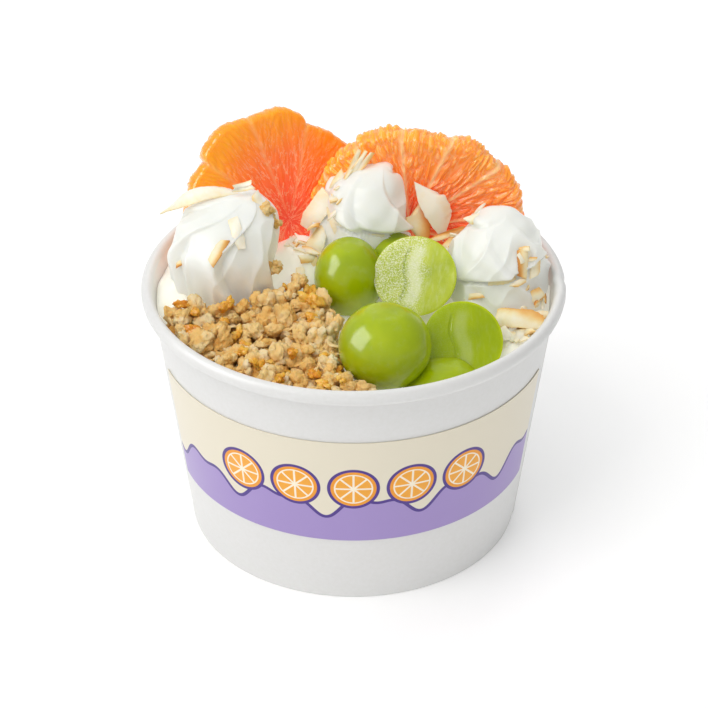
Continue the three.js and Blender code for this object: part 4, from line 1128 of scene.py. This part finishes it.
class FROYO_OT_granola(bpy.types.Operator):
    """Heaps granola at the front left"""
    bl_idname = "froyo.granola"
    bl_label = "Granola"

    def execute(self, context):
        settings = context.scene.froyo_granola
        oats, glaze = toasted_oats(), honey_glaze()
        draw = random.Random(77)
        ring = heap_outline(HEAP_COLUMNS, inset=0.1)
        self.core(ring, oats)
        clusters = [cluster_shape(seed, 7 + seed % 5, 26, 38) for seed in range(12)]
        crumbs = [cluster_shape(40 + seed, 3, 12, 18) for seed in range(8)]
        flakes = [flake_shape(seed) for seed in range(5)]
        low, high = settings.smallest / MM, settings.largest / MM
        lump = ((0.9, 1.4), (0.75, 1.05), (0.6, 0.95))
        flat = ((0.9, 1.2), (0.8, 1.1), (0.8, 1.2))
        # Each kind: its shapes, how many, the range of sizes, stretch, lift, tones, gap and material.
        kinds = {
            "clusters": (clusters, settings.clusters, (2.8, high), lump, 0.4, (0.42, 0.92), 0.54, oats),
            "bits": ([clusters[3], clusters[8]], settings.bits, (1.4, 3.0), lump, 1.1, (0.2, 0.9), 0.4, glaze),
            "flakes": (flakes, settings.flakes, (1.5, 2.7), flat, 0.5, (0.3, 1.0), 0.45, oats),
            "crumbs": (crumbs, settings.crumbs, (low, 1.8), lump, 0.25, (0.25, 0.9), 0.5, oats),
        }
        placed = []
        for name, (*how, material) in kinds.items():
            points, faces, values = joined(self.lay(draw, ring, placed, *how))
            stands_for(make("granola_" + name, points, faces, material, values), "granola_food")
        loose = []
        for at, size in STRAYS:
            shape, faces, shades = clusters[draw.randrange(12)]
            loose.append((shape * size * 1.15 @ turned_about(draw).T + at, faces, {"tone": 0.6 + shades}))
        points, faces, values = joined(loose)
        stands_for(make("granola_strays", points, faces, oats, values), "granola_food")
        return {"FINISHED"}

    def core(self, ring, oats):
        """The heap's own core, with relief finer than the clusters."""
        share = np.linspace(1, 0.01, 24)[:, None]
        x = HEAP_MIDDLE[0] + (ring[:, 0] - HEAP_MIDDLE[0]) * share
        y = HEAP_MIDDLE[1] + (ring[:, 1] - HEAP_MIDDLE[1]) * share
        flat = np.stack([x, y, 0 * x], axis=-1)
        z = heap_top(x, y) - 0.6 + 1.1 * ripple(flat, 4, 21) + 0.5 * ripple(flat, 2, 22)
        foot = np.stack([x[:1] * 0.985, y[:1] * 0.985, 0 * x[:1] + HEAP_FOOT], axis=-1)
        middle = 0 * foot + [*HEAP_MIDDLE, HEAP_FOOT]
        points = np.concatenate([middle, foot, np.stack([x, y, z], axis=-1)])
        faces, tones = grid_faces(*points.shape[:2]), 0.12 + 0 * points[..., 0]
        stands_for(make("granola_core", points, faces, oats, {"tone": tones}), "granola_food", "granola")

    def lay(self, draw, ring, placed, shapes, count, sizes, stretch, lift, tones, gap):
        """Strews one kind over the heap, clear of what is placed already."""
        low, high = sizes
        found, tries = [], 0
        while len(found) < count and tries < count * 40:
            tries += 1
            edge = ring[draw.randrange(HEAP_COLUMNS)]
            far = math.sqrt(draw.random()) * 1.06
            px = HEAP_MIDDLE[0] + (edge[0] - HEAP_MIDDLE[0]) * far
            py = HEAP_MIDDLE[1] + (edge[1] - HEAP_MIDDLE[1]) * far
            size = low + (high - low) * draw.random() ** 1.4
            pz = float(heap_top(px, py)) + lift * size + draw.uniform(-0.4, 1.8)
            # Some lie down the heap's side.
            if far > 0.98 and draw.random() < 0.7:
                pz = draw.uniform(62.5, pz)
            if not clear_of_fruit((px, py, pz), size):
                continue
            if any((px - qx) ** 2 + (py - qy) ** 2 + (pz - qz) ** 2 < (gap * (size + qs)) ** 2
                   for qx, qy, qz, qs in placed):
                continue
            placed.append((px, py, pz, size))
            shape, faces, shades = shapes[draw.randrange(len(shapes))]
            scale = [draw.uniform(*pair) * size for pair in stretch]
            body = (shape * scale) @ turned_about(draw).T + (px, py, pz)
            found.append((body, faces, {"tone": draw.uniform(*tones) + shades}))
        return found


def shaving(length, width, curl, toast, seed, thickness):
    """A flat shaving with straight cut edges and crisp corners. Gives its points, faces and browning.

    One long edge is toasted browner. Lengths run along X, widths along Y, and the face looks to +Z."""
    draw = random.Random(seed)
    rows, columns = 30, 13
    s = np.linspace(-1, 1, rows)[:, None]
    knots = np.array([-1, draw.uniform(-0.6, -0.2), draw.uniform(0.1, 0.6), 1])
    low_edge = np.interp(s, knots, [
        draw.uniform(0.6, 1.0), 1.0, draw.uniform(0.85, 1.05), draw.uniform(0.5, 0.95)])
    high_edge = np.interp(s, knots, [
        draw.uniform(0.5, 0.95), draw.uniform(0.85, 1.05), 1.0, draw.uniform(0.6, 1.0)])
    nicks = np.array([draw.uniform(-0.04, 0.04) for _ in range(rows)])[:, None]
    across = np.linspace(-1, 1, columns)
    v = np.concatenate([across, across[::-1]])[None, :]
    side = np.concatenate([np.ones(columns), -np.ones(columns)])[None, :]
    half = width / 2 * (np.where(v > 0, high_edge, low_edge) + nicks)
    slant = draw.uniform(-0.45, 0.45) * width * v * smooth((np.abs(s) - 0.3) / 0.7) * np.sign(s)
    bend = -curl * length * s ** 2 + 0.1 * width * (1 - v ** 2)
    bend = bend + 0.03 * length * np.sin(s * 3 + v * 1.3 + draw.uniform(0, 6))
    local = np.stack([s * length / 2 + slant, v * half, bend + side * thickness / 2], axis=-1)
    first, last = (
        np.repeat(end.mean(axis=1)[:, None], 2 * columns, axis=1) for end in (local[:1], local[-1:]))
    local = np.concatenate([first, local, last])
    edge = smooth((v * draw.choice((-1, 1)) + 0.35 * s * draw.choice((-1, 1)) + 0.3) / 1.4)
    rim = np.maximum(np.abs(s), np.abs(v)) ** 12
    brown = toast * (0.4 + 0.6 * edge) + (0.06 + 0.25 * toast) * edge + rim * (0.04 + 0.16 * toast)
    brown = np.concatenate([brown[:1], brown, brown[-1:]])
    return local.reshape(-1, 3), grid_faces(*local.shape[:2]), brown.reshape(-1)


class FROYO_OT_coconut(bpy.types.Operator):
    """Strews the toasted coconut shavings"""
    bl_idname = "froyo.coconut"
    bl_label = "Coconut"

    def execute(self, context):
        settings = context.scene.froyo_coconut
        thickness = settings.thickness / MM
        material = toasted_coconut()
        for number, (at, along, face, length, width, curl, toast) in enumerate(CHIPS, start=1):
            axes = frame_of(along, face)
            shapes = []
            strips = FANS.get(number, 1)
            for strip in range(strips):
                off = strip - (strips - 1) / 2
                seed = 300 + number + 40 * strip
                points, faces, brown = shaving(
                    length * (1 - 0.12 * strip), width / strips ** 0.7, curl, toast, seed, thickness)
                aside = [0, 0.62 * off * width / strips ** 0.5, 0.25 * off]
                points = points @ turned(0.14 * off).T + aside
                shapes.append((points @ axes + at, faces, {"toast": brown}))
            points, faces, values = joined(shapes)
            piece = make(f"coconut_chip_{number:02d}_shaving", points, faces, material, values, sharp=35)
            stands_for(piece, "coconut_food", f"coconut_chip_{number:02d}")
        self.strew_flakes(context, settings, material)
        return {"FINISHED"}

    def strew_flakes(self, context, settings, material):
        """Lays small flakes on the cream and the yogurt, flat on what is under them."""
        thickness = settings.thickness / MM
        depsgraph = context.evaluated_depsgraph_get()
        ground = [BVHTree.FromObject(bpy.data.objects[name], depsgraph) for name in DAIRY]
        draw = random.Random(9)
        shapes = []
        for (x, y), spread, share, largest in FLAKES:
            for _ in range(round(settings.flakes * share)):
                px, py = x + draw.gauss(0, spread), y + draw.gauss(0, spread)
                hits = [tree.ray_cast(Vector((px, py, 130)) * MM, Vector((0, 0, -1))) for tree in ground]
                hits = [hit for hit in hits if hit[0] is not None]
                if not hits:
                    continue
                point, normal = max(hits, key=lambda hit: hit[0].z)[:2]
                at = np.array(point) / MM + 0.3 * np.array(normal)
                if in_topping(at) or math.hypot(px, py) > wall_inner(min(at[2], 70)) - 2:
                    continue
                if at[2] > 86 and draw.random() < 0.8:
                    continue
                length = draw.uniform(1.2, largest)
                along = (draw.uniform(-1, 1), draw.uniform(-1, 1), draw.uniform(-0.4, 0.4))
                axes = frame_of(along, normal)
                width, toast = length * draw.uniform(0.25, 0.6), draw.uniform(0.0, 0.8)
                points, faces, brown = shaving(length, width, 0.05, toast, draw.randrange(999), thickness)
                shapes.append((points @ axes + at, faces, {"toast": brown}))
        points, faces, values = joined(shapes)
        stands_for(make("coconut_flakes", points, faces, material, values, sharp=35), "coconut_food")


def in_topping(at, room=1.0):
    """Whether a point is inside a grape or the granola's outline."""
    for grape in GRAPES.values():
        away = (np.array(at) - grape["at"]) / (np.array(grape["half"]) + room)
        if np.dot(away, away) < 1:
            return True
    return at[0] < 2 and at[1] < -8 and at[2] < 74


class FROYO_OT_stage(bpy.types.Operator):
    """Sets up the white board, the soft lights and the camera"""
    bl_idname = "froyo.stage"
    bl_label = "Stage"

    def execute(self, context):
        scene = context.scene
        settings = scene.froyo_stage
        size = 2500.0
        line = np.linspace(-size, size, 5)
        x, y = np.meshgrid(line, line, indexing="ij")
        points = np.stack([x, y, 0 * x - 0.05], axis=-1)
        floor = make("studio_board", points, grid_faces(5, 5, wrap_columns=False), studio_white(settings))
        world = bpy.data.worlds.new("white_surroundings")
        world.use_nodes = True
        # The surroundings are whitest in front and dimmest at the right.
        tree = world.node_tree
        way = add(tree, "SeparateXYZ", [add(tree, "TexCoord", out="Generated")])
        way = add(tree, "Math", [way, 0.5, 0.5], operation="MULTIPLY_ADD")
        shade = add(tree, "ValToRGB", [way], stops=[(0.0, "#E8E8E8"), (0.45, "#FFFFFF"), (1.0, "#B4B4B4")])
        tree.links.new(shade, tree.nodes["Background"].inputs["Color"])
        tree.nodes["Background"].inputs["Strength"].default_value = settings.world
        scene.world = world
        lamps = {
            "key_softbox": ((-0.5, -0.4, 0.86), 0.66, settings.key_power, (1.0, 0.985, 0.96)),
            "top_softbox": ((0.02, -0.15, 1.15), 0.9, settings.key_power * 0.75, (1.0, 1.0, 1.0)),
            "back_softbox": ((0.1, 0.85, 0.7), 0.5, settings.key_power * 0.5, (1.0, 1.0, 1.0)),
            "mirrored_softbox": ((-0.85, -0.22, 0.53), 0.8, settings.sheen, (1.0, 1.0, 1.0)),
        }
        for name, (at, width, power, colour) in lamps.items():
            data = bpy.data.lights.new(name, "AREA")
            data.size = width
            data.energy = power
            data.color = colour
            lamp = bpy.data.objects.new(name, data)
            lamp.location = at
            aim = Vector((0, 0, 0.06)) - Vector(at)
            lamp.rotation_euler = aim.to_track_quat("-Z", "Y").to_euler()
            # One large soft panel is what the glossy fruit mirrors. It doesn't light anything else.
            lamp.visible_glossy = name == "mirrored_softbox"
            lamp.visible_diffuse = lamp.visible_transmission = name != "mirrored_softbox"
            scene.collection.objects.link(lamp)
        data = bpy.data.cameras.new("photo_camera")
        data.lens = settings.lens
        data.sensor_width = 36.0
        camera = bpy.data.objects.new("photo_camera", data)
        back = Vector((0, -math.cos(settings.elevation), math.sin(settings.elevation)))
        camera.location = Vector((0, 0, 0.04)) + back * settings.distance
        aim = Vector((0.00014, 0, 0.049)) - camera.location
        camera.rotation_euler = aim.to_track_quat("-Z", "Y").to_euler()
        data.clip_start, data.clip_end = 0.01, 20
        scene.collection.objects.link(camera)
        scene.camera = camera
        scene.view_settings.view_transform = "Standard"
        return {"FINISHED"}


class FROYO_PT_panel(bpy.types.Panel):
    """Buttons for each group of pieces, with their sizes and colours"""
    bl_idname = "FROYO_PT_panel"
    bl_label = "Frozen Yogurt"
    bl_space_type = "VIEW_3D"
    bl_region_type = "UI"
    bl_category = "Frozen Yogurt"

    def draw(self, context):
        for operator in OPERATORS:
            self.layout.operator(operator.bl_idname)
        for key in SETTINGS:
            group = getattr(context.scene, key)
            box = self.layout.box()
            for name in group.__annotations__:
                box.prop(group, name)


SETTINGS = {
    "froyo_tub": TubSettings, "froyo_label": LabelSettings, "froyo_dairy": DairySettings,
    "froyo_fruit": FruitSettings, "froyo_granola": GranolaSettings, "froyo_coconut": CoconutSettings,
    "froyo_stage": StageSettings,
}
OPERATORS = [
    FROYO_OT_tub, FROYO_OT_label, FROYO_OT_dairy, FROYO_OT_grapes, FROYO_OT_citrus, FROYO_OT_granola,
    FROYO_OT_coconut, FROYO_OT_stage,
]


def register():
    for group in SETTINGS.values():
        bpy.utils.register_class(group)
    for key, group in SETTINGS.items():
        setattr(bpy.types.Scene, key, bpy.props.PointerProperty(type=group))
    for kind in [*OPERATORS, FROYO_PT_panel]:
        bpy.utils.register_class(kind)


def unregister():
    for kind in [FROYO_PT_panel, *reversed(OPERATORS)]:
        bpy.utils.unregister_class(kind)
    for key in SETTINGS:
        delattr(bpy.types.Scene, key)
    for group in reversed(list(SETTINGS.values())):
        bpy.utils.unregister_class(group)


def main():
    register()
    bpy.ops.froyo.tub()
    bpy.ops.froyo.label()
    bpy.ops.froyo.dairy()
    bpy.ops.froyo.grapes()
    bpy.ops.froyo.citrus()
    bpy.ops.froyo.granola()
    bpy.ops.froyo.coconut()
    bpy.ops.froyo.stage()
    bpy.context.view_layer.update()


if __name__ == "__main__":
    main()
